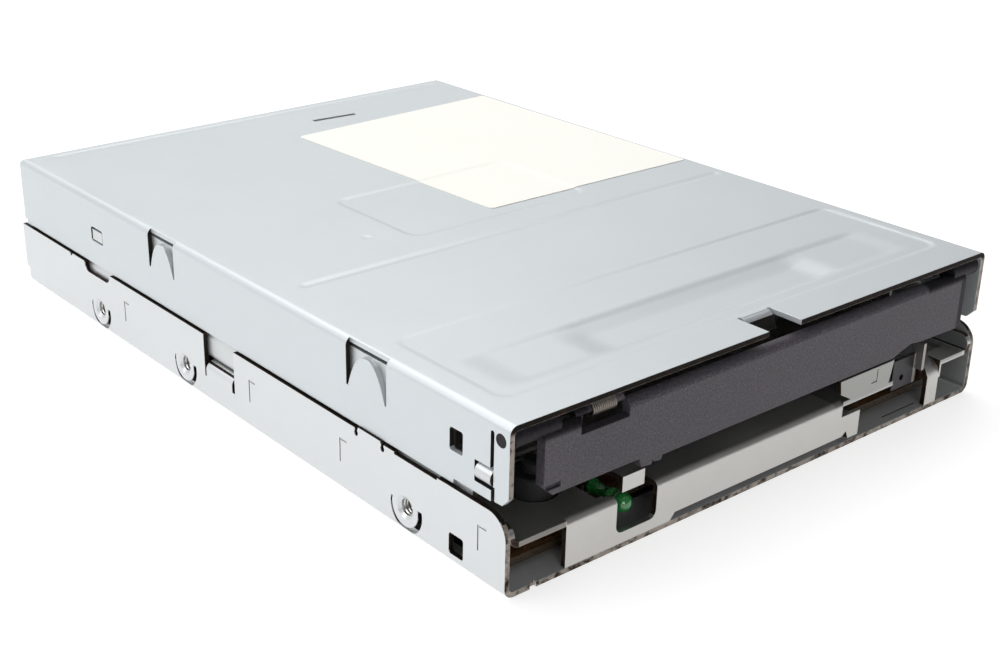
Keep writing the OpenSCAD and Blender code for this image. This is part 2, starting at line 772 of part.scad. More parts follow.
// Thin film between the board and the pan
module insulating_sheet() {
  color("dimgray") difference() {
    span([-board_x, board_front_y + 4, floor_z], [board_x, board_back_y - 3, floor_z + 0.15]);
    bar_z(rotor_r + 3.4, 0, 3, 0, spindle_y);
    board_stand_at() cylinder(r = 3.2, h = 3);
    base_hole_at() cylinder(r = collar_r + 0.3, h = 3);
  }
}

// Main circuit board round the spindle motor
module main_board() {
  color("sienna") difference() {
    span([-board_x, board_front_y, board_z], [board_x, board_back_y, board_top]);
    bar_z(rotor_r + 2.4, board_z - eps, board_top + eps, 0, spindle_y);
    board_stand_at() cylinder(r = 1.2, h = 10);
    base_hole_at() cylinder(r = collar_r + 0.3, h = 10);
    both_sides() for (d = side_hole_ds)
      span([side_x - collar_l - 0.8, front_y + d - 3.2, board_z - eps],
        [side_x, front_y + d + 3.2, board_top + eps]);
    // Front edge cut back behind the lip
    span([-33, board_front_y - eps, board_z - eps], [26, board_front_y + 4, board_top + eps]);
  }
}

module board_screws() {
  color("silver") board_stand_at() difference() {
    union() {
      translate([0, 0, board_top]) cylinder(r = 2.1, h = 1.1);
      translate([0, 0, board_lift]) cylinder(r = 0.85, h = board_top - board_lift + 0.2);
    }
    translate([0, 0, board_top + 0.8]) {
      translate([-1.4, -0.25, -0.4]) cube([2.8, 0.5, 1]);
      translate([-0.25, -1.4, -0.4]) cube([0.5, 2.8, 1]);
    }
  }
}

// Insulating block of the signal header
module signal_header() {
  color("black") difference() {
    span([header_x - header_l / 2, header_y, board_top], [header_x + header_l / 2, header_y + 2.5, board_top + 5.1]);
    for (i = [0:header_pins - 1], row = [0, 1])
      translate([header_x + (i - (header_pins - 1) / 2) * header_pitch - 0.36,
           header_y - eps, board_top + 1.5 + row * header_pitch - 0.36])
        cube([0.72, 3, 0.72]);
  }
}

// Bent square pins of the signal header
module signal_pins() {
  color("goldenrod") for (i = [0:header_pins - 1], row = [0, 1]) {
    x = header_x + (i - (header_pins - 1) / 2) * header_pitch;
    z = board_top + 1.5 + row * header_pitch;
    foot_y = header_y - 1.6 - row * header_pitch;
    span([x - 0.32, foot_y, z - 0.32], [x + 0.32, back_y - 0.8, z + 0.32]);
    span([x - 0.32, foot_y, board_top], [x + 0.32, foot_y + 0.64, z + 0.32]);
  }
}

power_w = 4 * power_pitch + 2.4;

// Shrouded power header
module power_header() {
  y0 = back_y - 9.4;
  color("ivory") difference() {
    span([power_x - power_w / 2, y0, board_top], [power_x + power_w / 2, back_y - 0.6, board_top + 7]);
    span([power_x - power_w / 2 + 0.8, y0 + 1.8, board_top + 0.9],
      [power_x + power_w / 2 - 0.8, back_y, board_top + 6.1]);
    for (side = [-1, 1])
      span([power_x + side * 3.2 - 0.9, y0 + 3, board_top + 5], [power_x + side * 3.2 + 0.9, back_y, board_top + 7.1]);
    for (i = [0:3])
      translate([power_x + (i - 1.5) * power_pitch - 0.36, y0 - eps, board_top + 3.14])
        cube([0.72, 3, 0.72]);
  }
}

module power_pins() {
  y0 = back_y - 9.4;
  color("goldenrod") for (i = [0:3]) {
    x = power_x + (i - 1.5) * power_pitch;
    span([x - 0.32, y0 - 1.8, board_top + 3.18], [x + 0.32, back_y - 2, board_top + 3.82]);
    span([x - 0.32, y0 - 1.8, board_top], [x + 0.32, y0 - 1.16, board_top + 3.82]);
  }
}

// Square packages with rows of flat leads
module flat_package(w, l, h, leads, pitch) {
  translate([-w / 2, -l / 2, 0.2]) cube([w, l, h]);
  for (i = [0:leads - 1], side = [-1, 1])
    translate([side * (w / 2 + 0.5) - 0.6, (i - (leads - 1) / 2) * pitch - 0.2, 0]) cube([1.2, 0.4, 0.5]);
}

module controller_chips() {
  color("#222222") {
    translate([-24, front_y + 106, board_top]) flat_package(10, 14, 2, 12, 1);
    translate([24, front_y + 104, board_top]) flat_package(7.5, 12, 1.8, 9, 1.27);
    translate([-38.5, front_y + 62, board_top]) flat_package(5.3, 10, 1.6, 7, 1.27);
  }
}

// Capacitors, resistors and a crystal beside the chips
module small_components() {
  color("tan") {
    for (p = [[-38, 98], [-38, 104], [36, 96]])
      translate([p[0], front_y + p[1], board_top]) cylinder(r = 2, h = 3.6);
    for (p = [[-12, 98], [-12, 101], [-12, 104], [12, 98], [12, 101], [12, 104], [12, 107], [34, 104],
         [34, 107], [34, 110], [-38, 112], [-38, 115], [-38, 50], [-38, 53]])
      translate([p[0], front_y + p[1], board_top]) translate([-1, -0.6, 0]) cube([2, 1.2, 0.7]);
    translate([-12, front_y + 110, board_top]) translate([-3.5, -1.5, 0]) cube([7, 3, 1.6]);
  }
}

led_x = -27.2;
led_z = 5.1;
led_tip_y = front_y + 1.3;

// Green indicator: dome, collar and neck
module activity_led() {
  color("green") {
    translate([led_x, led_tip_y + 1.5, led_z]) sphere(r = 1.5);
    bar_y(1.45, led_tip_y + 1.5, led_tip_y + 2.8, led_x, led_z);
    bar_y(1.2, led_tip_y + 2.8, led_tip_y + 3.6, led_x, led_z);
    bar_y(0.95, led_tip_y + 3.6, led_tip_y + 7.4, led_x, led_z);
  }
}

module led_leads() {
  y = led_tip_y + 7.4;
  color("silver") for (side = [-1, 1]) {
    x = led_x + side * 0.55;
    span([x - 0.2, y, led_z - 0.2], [x + 0.2, y + 1.6, led_z + 0.2]);
    span([x - 0.2, y + 1.2, board_top], [x + 0.2, y + 1.6, led_z + 0.2]);
  }
}

motor_lobes = [90, 210, 330];
motor_lobe_r = rotor_r + 2.2;

// Plate that carries the stator and bearing under the deck
module motor_plate() {
  color("darkseagreen") translate([0, spindle_y, motor_plate_z]) difference() {
    union() {
      cylinder(r = rotor_r - 2, h = sheet_t);
      for (a = motor_lobes) rotate(a) {
        translate([0, -3, 0]) cube([motor_lobe_r, 6, sheet_t]);
        translate([motor_lobe_r, 0, 0]) cylinder(r = 3, h = sheet_t);
      }
    }
    translate([0, 0, -eps]) cylinder(r = bearing_r + 0.1, h = 2);
    for (a = motor_lobes) rotate(a) translate([motor_lobe_r, 0, -eps]) cylinder(r = 0.95, h = 2);
  }
}

// Screws up through the motor plate, their heads on its underside
module motor_screws() {
  color("silver") translate([0, spindle_y, 0]) for (a = motor_lobes) rotate(a)
    translate([motor_lobe_r, 0, 0]) difference() {
      union() {
        translate([0, 0, motor_plate_z - 1.1]) cylinder(r = 1.9, h = 1.1);
        translate([0, 0, motor_plate_z - 0.2]) cylinder(r = 0.95, h = deck_top - motor_plate_z);
      }
      translate([-1.2, -0.25, motor_plate_z - 1.2]) cube([2.4, 0.5, 0.5]);
    }
}

// Sintered sleeve with the flange that the stator sits on
module spindle_bearing() {
  color("peru") translate([0, spindle_y, 0]) difference() {
    union() {
      translate([0, 0, rotor_z + rotor_t + 0.8]) cylinder(r = bearing_r, h = bearing_top - rotor_z - rotor_t - 0.8);
      translate([0, 0, motor_plate_z - 0.8]) cylinder(r = 8.5, h = 0.8);
    }
    cylinder(r = shaft_r + run_gap, h = case_h);
  }
}

stator_z0 = 3.8;
stator_z1 = motor_plate_z - 0.8;
stator_r = rotor_r - 4.6;

// Laminated star with one pole shoe for each tooth
module stator_core() {
  h = stator_z1 - stator_z0;
  color("slategray") translate([0, spindle_y, stator_z0]) difference() {
    union() {
      cylinder(r = 9, h = h);
      for (i = [0:stator_teeth - 1]) rotate(360 / stator_teeth * i)
        translate([8, -1, 0]) cube([stator_r - 9, 2, h]);
      intersection() {
        difference() {
          cylinder(r = stator_r, h = h);
          translate([0, 0, -eps]) cylinder(r = stator_r - 1.2, h = h + 1);
        }
        for (i = [0:stator_teeth - 1]) rotate(360 / stator_teeth * i)
          translate([stator_r - 4, -33 / stator_teeth, 0]) cube([6, 66 / stator_teeth, h]);
      }
    }
    translate([0, 0, -eps]) cylinder(r = bearing_r + 0.1, h = h + 1);
  }
}

// Copper windings round the teeth
module stator_coils() {
  h = stator_z1 - stator_z0;
  color("chocolate") translate([0, spindle_y, stator_z0]) for (i = [0:stator_teeth - 1])
    rotate(360 / stator_teeth * i) difference() {
      translate([11, -2, -0.7]) cube([stator_r - 13, 4, h + 1.4]);
      translate([10, -1.05, -0.05]) cube([stator_r, 2.1, h + 0.1]);
    }
}

// Pressed cup that turns round the stator
module rotor_cup() {
  color("lightgray") translate([0, spindle_y, rotor_z]) difference() {
    union() {
      cylinder(r = rotor_r, h = 4.4);
      cylinder(r = 4, h = rotor_t + 0.5);
    }
    difference() {
      translate([0, 0, rotor_t]) cylinder(r = rotor_r - 0.7, h = 5);
      cylinder(r = 4, h = rotor_t + 0.5);
    }
    translate([0, 0, -eps]) cylinder(r = shaft_r, h = 3);
    for (i = [0:5]) rotate(60 * i) translate([14, 0, -eps]) cylinder(r = 2.4, h = rotor_t + 2 * eps);
  }
}

module rotor_magnet() {
  color("#333333") translate([0, spindle_y, rotor_z + rotor_t]) difference() {
    cylinder(r = rotor_r - 0.7, h = 3.4);
    translate([0, 0, -eps]) cylinder(r = rotor_r - 3.9, h = 4);
  }
}

module spindle_shaft() {
  color("silver") translate([0, spindle_y, 0]) {
    translate([0, 0, rotor_z]) cylinder(r = shaft_r, h = hub_z + 1.4 - rotor_z);
    translate([0, 0, hub_z + 1.4]) cylinder(r1 = shaft_r, r2 = shaft_r - 0.5, h = 0.5);
  }
}

// Table that carries the disk's steel hub
module hub_table() {
  color("gainsboro") translate([0, spindle_y, 0]) difference() {
    union() {
      translate([0, 0, hub_z - hub_t]) cylinder(r = hub_r, h = hub_t - 0.2);
      translate([0, 0, hub_z - 0.4]) cylinder(r = 4, h = 0.4);
      translate([0, 0, hub_z - hub_t]) cylinder(r = hub_r - 0.4, h = hub_t - 0.1);
    }
    translate([0, 0, hub_z - hub_t - eps]) cylinder(r = shaft_r, h = 3);
    // Groove for the ring magnet
    difference() {
      translate([0, 0, hub_z - 0.9]) cylinder(r = 8.4, h = 2);
      cylinder(r = 4.4, h = case_h);
    }
    translate([pin_circle_r, 0, 0]) cylinder(r = drive_pin_r + 0.12, h = case_h);
  }
}

module hub_magnet() {
  color("#2b2b2b") translate([0, spindle_y, hub_z - 0.9]) difference() {
    cylinder(r = 8.4, h = 0.7);
    translate([0, 0, -eps]) cylinder(r = 4.4, h = 2);
  }
}

pin_flange_z = hub_z - hub_t - 0.6;

// Spring-loaded pin that finds the hub's drive hole
module drive_pin() {
  color("silver") translate([pin_circle_r, spindle_y, 0]) {
    bar_z(drive_pin_r, pin_flange_z, hub_z + 1, 0, 0);
    translate([0, 0, hub_z + 1]) cylinder(r1 = drive_pin_r, r2 = 0.6, h = 0.5);
    bar_z(1.7, pin_flange_z, pin_flange_z + 0.4, 0, 0);
  }
}

// Leaf that pushes the drive pin up, held at the table's rim on the far side of the shaft
module drive_pin_spring() {
  z = pin_flange_z - 0.3;
  color("darkkhaki") translate([0, spindle_y, 0]) difference() {
    union() {
      bar_z(7.4, z, z + 0.2, 0, 0);
      translate([0, -1.2, z]) cube([pin_circle_r + 1, 2.4, 0.2]);
      for (a = [110, 250]) rotate(a) bar_z(1, z, hub_z - hub_t, 6.6, 0);
    }
    bar_z(bearing_r + 0.4, 0, z + 0.3, 0, 0);
  }
}

stepper_l = 13;

// Stepper motor can
module stepper_motor() {
  y0 = bracket_y + 1;
  color("silver") difference() {
    union() {
      bar_y(stepper_r, y0, y0 + stepper_l, screw_x, screw_z);
      bar_y(stepper_r - 1.2, y0 + stepper_l, y0 + stepper_l + 0.6, screw_x, screw_z);
      bar_y(2.4, y0 + stepper_l, y0 + stepper_l + 1.4, screw_x, screw_z);
      // Terminal block on the side
      span([screw_x - stepper_r - 2.4, y0 + 4, screw_z - 3], [screw_x - stepper_r + 1.5, y0 + 10, screw_z + 3]);
    }
    bar_y(screw_r + 0.1, y0 - eps, y0 + 4.3, screw_x, screw_z);
  }
}

// Folded plate that holds the stepper motor on the deck
module stepper_bracket() {
  color("lightgray") difference() {
    union() {
      span([screw_x - 8, bracket_y, deck_top], [screw_x + 12.5, bracket_y + 1, screw_z + stepper_r]);
      span([screw_x + 8, bracket_y, deck_top], [screw_x + 17.5, bracket_y + 6.6, deck_top + 1]);
    }
    bar_y(screw_r + 0.3, bracket_y - eps, bracket_y + 1 + eps, screw_x, screw_z);
    wall_xz(bracket_y - eps, bracket_y + 1 + eps) {
      translate([screw_x - 8, screw_z + stepper_r]) mirror([0, 1]) corner_off(3);
      translate([screw_x + 12.5, screw_z + stepper_r]) rotate(180) corner_off(6);
    }
    for (dx = bracket_screw_dx) bar_z(0.95, deck_z, deck_top + 2, screw_x + dx, bracket_y + 3.8);
  }
}

// Round-headed screw with a crossed slot, its head seated at z
module deck_screw(x, y, z) {
  translate([x, y, z]) difference() {
    union() {
      cylinder(r = 1.9, h = 1);
      translate([0, 0, deck_z - z]) cylinder(r = 0.95, h = z - deck_z + 0.1);
    }
    translate([-1.3, -0.25, 0.6]) cube([2.6, 0.5, 1]);
    translate([-0.25, -1.3, 0.6]) cube([0.5, 2.6, 1]);
  }
}

// Screws of the stepper bracket, the rod clamps and the lead screw's bearing
module deck_screws() {
  color("silver") for (p = deck_screw_points) deck_screw(p[0], p[1], p[2]);
}

// Threaded shaft of the stepper motor
module lead_screw() {
  color("silver") {
    bar_y(screw_r, screw_front_y + 1.6, bracket_y + 5, screw_x, screw_z);
    bar_y(screw_journal_r, screw_front_y, screw_front_y + 1.6, screw_x, screw_z);
  }
}

// Plastic block that carries the lead screw's front journal
module screw_end_bearing() {
  y0 = screw_front_y - 0.6;
  color("whitesmoke") difference() {
    union() {
      wall_xz(y0, y0 + 2) translate([screw_x, 0]) {
        translate([-1.9, deck_top]) square([3.8, screw_z - deck_top]);
        translate([0, screw_z]) circle(1.9);
      }
      span([screw_x - 1.9, y0 - 3, deck_top], [screw_x + 6.4, y0 + 2, deck_top + 0.9]);
    }
    bar_z(0.95, deck_z, deck_top + 2, screw_x + 4.2, screw_front_y - 1.4);
    bar_y(screw_journal_r + run_gap, screw_front_y - 0.2, y0 + 2 + eps, screw_x, screw_z);
  }
}

module guide_rod() {
  color("silver") bar_y(rod_r, rod_front_y, rod_back_y, rod_x, rod_z);
}

// Saddles that press the guide rod onto the deck
module rod_clamps() {
  color("darkkhaki") for (y = clamp_ys) difference() {
    wall_xz(y - clamp_w / 2, y + clamp_w / 2) difference() {
      union() {
        translate([rod_x, rod_z]) circle(rod_r + 0.35);
        translate([rod_x - rod_r - 0.35, deck_top]) square([2 * rod_r + 0.7, rod_z - deck_top]);
        translate([rod_x - 7.6, deck_top]) square([7, 0.8]);
      }
      translate([rod_x, rod_z]) circle(rod_r);
      translate([rod_x - rod_r, deck_top - eps]) square([2 * rod_r, rod_z - deck_top + eps]);
    }
    bar_z(0.95, 0, clamp_foot_top + 1, rod_x - 5.4, y);
  }
}

// Moulded carriage: rod sleeve, lower arm, hinge ears, follower arm and sensor flag
module head_carriage() {
  y0 = body_front_y;
  y1 = body_front_y + body_l;
  low = deck_top + air;
  top = 12.4;
  color("#3a3a3a") difference() {
    union() {
      span([rod_x + 2.4, y0, low], [4, y1, top]);
      span([rod_x + 1, sleeve_y, low], [rod_x + 3, y1, top]);
      wall_xz(sleeve_y, sleeve_y + sleeve_l) translate([rod_x, 0]) {
        translate([-2.6, low]) square([5.2, rod_z - low]);
        translate([0, rod_z]) circle(2.6);
      }
      // Lower arm, narrowed towards the head
      translate([0, 0, low]) linear_extrude(1.5)
        polygon([[-6, y0 + 1], [6, y0 + 1], [6, y0 - 8], [4, head_y - 4], [-4, head_y - 4], [-6, y0 - 8]]);
      translate([0, head_y, low]) cylinder(r = 3.2, h = 2.4);
      // Side rail and the arm that holds the screw's follower
      span([4 - eps, y0, low], [6, y0 + 6.4, top]);
      span([4 - eps, y0 + 6.2, top - 1.1], [follower_x + 0.7, y1, top]);
      // Ears of the upper arm's hinge
      for (x = [-8.2, 6.4]) wall_yz(x, x + 1.8) translate([hinge_y, hinge_z]) {
        circle(2.2);
        translate([-2.2, top - hinge_z - 1]) square([4.4, hinge_z - top + 1]);
      }
      // Flag of the outer track's sensor
      span([rod_x - 8, sleeve_y, low + 1.6], [rod_x - 2, sleeve_y + 2.4, low + 2.4]);
    }
    bar_y(rod_r + run_gap, y0 - eps, sleeve_y + sleeve_l + eps, rod_x, rod_z);
    bar_x(0.75, -9, 9, hinge_y, hinge_z);
    // Lightening pocket
    span([-7.6, y0 + 1.6, low + 1.5], [2.4, y1 - 1.6, top + eps]);
  }
}

follower_x = screw_x - screw_r - 1.2;

// Leaf with the tooth that rides in the lead screw's groove
module screw_follower() {
  y = hinge_y;
  z = 12.4;
  color("darkkhaki") {
    span([follower_x - 2, y - 1.6, z], [follower_x + 0.3, y + 1.6, z + 0.3]);
    span([follower_x, y - 1.6, z], [follower_x + 0.3, y + 1.6, screw_z + 1]);
    bar_x(0.45, follower_x + 0.2, screw_x - screw_r - 0.05, y, screw_z);
  }
}

// Lower magnetic head on its pad
module lower_head() {
  base_z = deck_top + air + 2.4;
  color("dimgray") {
    translate([0, head_y, base_z]) cylinder(r = 2.8, h = 1.2);
    span([-1.8, head_y - 2.1, base_z + 1.2], [1.8, head_y + 2.1, media_z - 0.2]);
  }
}

module arm_pin() {
  color("silver") bar_x(0.75, -8.6, 8.6, hinge_y, hinge_z);
}

arm_coil = coil_path(5, 1.45, 0.75, 2.2, 2.2);

// Coil on the hinge pin that presses the upper arm down
module arm_spring() {
  echo(arm_spring_gap = self_gap(arm_coil, spring_wire_r));
  color("silver") translate([-2, hinge_y, hinge_z]) rotate([0, 90, 0]) rotate([0, 0, 180])
    wire(arm_coil, spring_wire_r);
}

// Things drawn in the loaded position and lifted to their place at rest
module lifted() {
  translate([0, hinge_y, hinge_z]) rotate([-arm_lift, 0, 0]) translate([0, -hinge_y, -hinge_z])
    children();
}

// Upper arm: flanged plate, hinge barrels and lifting tab
module upper_arm() {
  z = hinge_z - arm_t / 2;
  tip_y = head_y - 5;
  color("gainsboro") lifted() difference() {
    union() {
      translate([0, 0, z]) linear_extrude(arm_t)
        polygon([[-5.9, hinge_y - 1], [-5.9, head_y + 12], [-4, tip_y + 1], [-3, tip_y], [3, tip_y],
            [4, tip_y + 1], [5.9, head_y + 12], [5.9, hinge_y - 1]]);
      // Stiffening ribs
      for (x = [-5.9, 4.9]) span([x, head_y + 12, z], [x + 1, hinge_y - 2, z + 2]);
      // Barrels on the hinge pin
      for (x = [-6.2, 4]) bar_x(1.7, x, x + 2.2, hinge_y, hinge_z);
      for (x = [-6.2, 4]) span([x, hinge_y - 2, z], [x + 1.9, hinge_y, z + arm_t]);
      // Tab that rests on the holder's lifting strip
      span([5.2, hinge_y - 18, z + 0.8], [18, hinge_y - 16, z + 1.6]);
      span([4.9, hinge_y - 18, z], [5.9, hinge_y - 16, z + 1.6]);
    }
    bar_x(0.75 + run_gap, -9, 9, hinge_y, hinge_z);
    bar_z(2.1, z - 1, z + 3, 0, head_y + 7);
    // Room for the coil on the pin
    span([-3.6, hinge_y - 2.4, z - 2], [3.6, hinge_y + 3, z + 3]);
  }
}

// Upper magnetic head on its gimbal
module upper_head() {
  z = hinge_z - arm_t / 2;
  color("dimgray") lifted() {
    translate([0, head_y, z - 1.2]) cylinder(r = 2.8, h = 1.2);
    span([-1.8, head_y - 2.1, media_z + 0.2], [1.8, head_y + 2.1, z - 1.2]);
  }
}

cable_r = 2.6;
cable_x0 = -7.6;
cable_x1 = -1.6;
cable_y = body_front_y + 16.7;
cable_t = 0.15;

// Flat ribbon from the carriage down through the deck to the main board
module head_flex_cable() {
  top = 11;
  low = top - 2 * cable_r;
  color("darkorange") wall_yz(cable_x0, cable_x1) {
    translate([body_front_y + body_l, top - cable_t]) square([cable_y - body_front_y - body_l, cable_t]);
    difference() {
      translate([cable_y, top - cable_r]) circle(cable_r);
      translate([cable_y, top - cable_r]) circle(cable_r - cable_t);
      translate([cable_y - 5, 0]) square([5, 20]);
    }
    translate([cable_y - 3, low]) square([3, cable_t]);
    translate([cable_y - 3, board_top + 1]) square([cable_t, low - board_top - 1 + cable_t]);
  }
}

module flex_connector() {
  y = cable_y - 3 + cable_t / 2;
  color("ivory") difference() {
    span([cable_x0 - 1, y - 2, board_top], [cable_x1 + 1, y + 2, board_top + 1.8]);
    span([cable_x0 - 0.1, y - 0.3, board_top + 1], [cable_x1 + 0.1, y + 0.3, board_top + 2]);
  }
}

// Forked light sensor astride the carriage's flag
module track_zero_sensor() {
  y0 = sleeve_y - 2;
  x0 = rod_x - 11;
  color("#252525") difference() {
    span([x0, y0, deck_top], [x0 + 5, y0 + 6, deck_top + 5]);
    span([x0 + 1.8, y0 - eps, deck_top + 1.4], [x0 + 5 + eps, y0 + 6 + eps, deck_top + 3.4]);
  }
}

module index_sensor() {
  color("#252525") translate([-rotor_r - 1.3, spindle_y - 8, board_top]) translate([-3.4, -2, 0]) cube([3, 4, 1.5]);
}

// Side view of the holder's wall
module cage_wall_2d() {
  difference() {
    translate([cage_front_y, rail_z - thin_t])
      square([cage_back_y - cage_front_y, slot_h + 2 * thin_t]);
    translate([cage_front_y + 41, rail_z + slot_h / 2]) round_rect(26, 2, 0.9);
  }
}

latch_x = -34;
latch_y = spindle_y + 24;
latch_r = 24;
latch_pin_r = 1;
latch_start = -30;
latch_swing = 98;
latch_z = cage_top_z + thin_t + air;
lift_x0 = 15.6;
lift_x1 = 19.2;

// Fan-shaped outline from angle a0 to angle a1
module fan(r, a0, a1) {
  polygon(concat([[0, 0]], [for (i = [0:4]) let (a = a0 + (a1 - a0) * i / 4) r * [cos(a), sin(a)]]));
}

// Holder that takes the disk: top plate, walls, rails, flared mouth and lifting strip
module disk_cage() {
  z1 = cage_top_z + thin_t;
  flare = 1.2;
  color("silver") difference() {
    union() {
      span([-cage_x, cage_front_y, cage_top_z], [cage_x, cage_back_y, z1]);
      // Mouth flared up along the top plate
      wall_yz(4.2 - cage_x, cage_x - 4.2) translate([cage_front_y, cage_top_z])
        polygon([[0, 0], [0, thin_t], [-flare, thin_t + 0.35], [-flare, 0.35]]);
      both_sides() {
        wall_yz(cage_in_x, cage_x) cage_wall_2d();
        // Rails turned in under the disk, their front ends turned down
        span([cage_in_x - 4.4, cage_front_y, rail_z - thin_t], [cage_x, cage_back_y, rail_z]);
        wall_yz(cage_in_x - 4.4, cage_in_x) translate([cage_front_y, rail_z])
          polygon([[0, 0], [0, -thin_t], [-flare, -thin_t - 0.35], [-flare, -0.35]]);
        // Stop at the disk's leading edge
        span([cage_in_x - 3, stop_y, rail_z - thin_t], [cage_x, stop_y + thin_t, z1]);
      }
      // Raised strip under the upper arm's tab
      span([lift_x0, hinge_y - 35, z1 + 0.4], [lift_x1, hinge_y - 12, z1 + 1]);
      for (x = [lift_x0, lift_x1 - thin_t])
        span([x, hinge_y - 35, cage_top_z], [x + thin_t, cage_back_y, z1 + 1]);
    }
    // Bay for the heads
    span([-14, spindle_y + 18.5, cage_top_z - eps], [14, cage_back_y + eps, z1 + eps]);
    // Spindle clearance, sighting holes and mouth relief
    bar_z(9, cage_top_z - eps, z1 + eps, 0, spindle_y);
    translate([0, 0, cage_top_z - eps]) linear_extrude(thin_t + 1) {
      both_sides() {
        slot_2d([22, spindle_y + 2], [38, spindle_y + 2], 2.4);
        slot_2d([28, spindle_y - 18], [36, spindle_y - 18], 2.4);
      }
      polygon([[-30, cage_front_y - 3], [30, cage_front_y - 3], [24, cage_front_y + 5], [-24, cage_front_y + 5]]);
      // Arc that the latch lever's pin sweeps
      translate([latch_x, latch_y]) intersection() {
        difference() {
          circle(latch_r + latch_pin_r + 0.5);
          circle(latch_r - latch_pin_r - 0.5);
        }
        fan(1.4 * latch_r, latch_start - 4, latch_start + latch_swing + 3);
      }
    }
    bar_z(1.5, cage_top_z - eps, z1 + eps, latch_x, latch_y);
  }
}

// Rivets that run in the slider's and the deck's slots
module cage_pins() {
  color("silver") both_sides() for (d = cage_pin_d)
    bar_x(cage_pin_r, cage_x, deck_wall_x - 0.2, front_y + d, cage_pin_z);
}

latch_tail = slider_x - 0.1 + latch_x;

// Lever that opens the disk's shutter and holds the slider back
module latch_lever() {
  z0 = latch_z;
  stud_r = 1.5 - run_gap;
  color("#dcd7c8") translate([latch_x, latch_y, 0]) {
    translate([0, 0, z0]) linear_extrude(0.8) {
      circle(3.4);
      rotate(latch_start) {
        polygon([[0, -3], [latch_r, -1.8], [latch_r, 1.8], [0, 3]]);
        translate([latch_r, 0]) circle(1.8);
      }
      // Tail that stands in front of the slider's ear
      polygon([[0, 2.6], [-latch_tail, 0.1], [-latch_tail, -1.2], [0, -3]]);
    }
    bar_z(latch_pin_r, rail_z + 0.4, z0 + 0.4, latch_r * cos(latch_start), latch_r * sin(latch_start));
    bar_z(stud_r, cage_top_z, z0 + 2.6, 0, 0);
  }
}

latch_coil = coil_path(3, 2.1, 0.72, 4.4, 4.4);

// Return spring round the latch lever's stud
module latch_spring() {
  echo(latch_spring_gap = self_gap(latch_coil, spring_wire_r));
  color("silver") translate([latch_x, latch_y, latch_z + 0.96]) rotate([0, 0, 40])
    wire(latch_coil, spring_wire_r);
}

// Slanted slot that lifts one of the holder's pins
module slider_slot(d) {
  y = front_y + d;
  slot_2d([y, cage_pin_z], [y + slider_travel, cage_pin_z - cage_drop], pin_slot_r);
}

// Side view of the slider's wall
module slider_wall_2d() {
  low = slider_z;
  difference() {
    translate([front_y + 17, low]) union() {
      square([slider_l, 3]);
      for (d = cage_pin_d) translate([d - 17 - 4.5, 0])
        polygon([[0, 0], [15.5, 0], [13, cage_pin_z + 2.2 - low], [1.5, cage_pin_z + 2.2 - low]]);
    }
    for (d = cage_pin_d) slider_slot(d);
  }
}

// Eject slider: side strips with lifting walls, cross plate and nose for the button
module eject_slider() {
  y0 = slider_front_y;
  nose_y = front_y + 1.5;
  color("silver") difference() {
    union() {
      both_sides() {
        span([39.5, y0, slider_z], [slider_x, y0 + slider_l, slider_top]);
        wall_yz(slider_in_x, slider_x) slider_wall_2d();
      }
      span([-slider_x, y0, slider_z], [slider_x, y0 + 9, slider_top]);
      // Ear that the latch lever holds
      span([-slider_x, latch_y + 0.4, cage_pin_z], [-slider_in_x, latch_y + 2.2, latch_z + 1.2]);
      // Strip to the nose, its front plate and the upright for the button
      span([31.4, nose_y, slider_z], [35.4, y0 + 1, slider_top]);
      span([31.4, nose_y, 5], [37.5, nose_y + thin_t, deck_top + 2.1]);
      span([36.9, front_y + 0.1, 7.6], [37.5, nose_y + thin_t, 12.2]);
    }
    both_sides() {
      // Room for the springs and the deck's hooks
      span([41, spring_front_y - 2.4, slider_z - eps], [45.2, spring_back_y, slider_top + eps]);
      // Slots for the shoulder rivets
      translate([0, 0, slider_z - eps]) linear_extrude(thin_t + 2 * eps) for (d = guide_ds)
        slot_2d([43, front_y + d], [43, front_y + d + slider_travel], 1.25);
    }
    bar_y(0.5, nose_y - eps, nose_y + thin_t + eps, 33.8, 6.8);
    // Round notch that clears the left switch when the slider is forward
    bar_z(left_switch_r + 0.4, slider_z - eps, slider_top + eps, left_switch_x,
      front_y + left_switch_d + slider_travel);
  }
  // Rear tabs that the springs pull on
  color("silver") both_sides()
    span([42.2, spring_back_y, slider_z], [43.8, spring_back_y + thin_t, slider_top + 1.5]);
}

slider_pitch = (spring_back_y - spring_front_y - 3) / slider_curls;
slider_coil = coil_path(slider_curls, 0.95, slider_pitch, 1.2, 1.2);

// Two springs that pull the slider forward
module slider_springs() {
  echo(slider_spring_gap = self_gap(slider_coil, slider_wire_r));
  color("silver") both_sides() translate([43, spring_front_y + 1.5, deck_top + 1.4]) rotate([-90, 0, 0])
    wire(slider_coil, slider_wire_r);
}

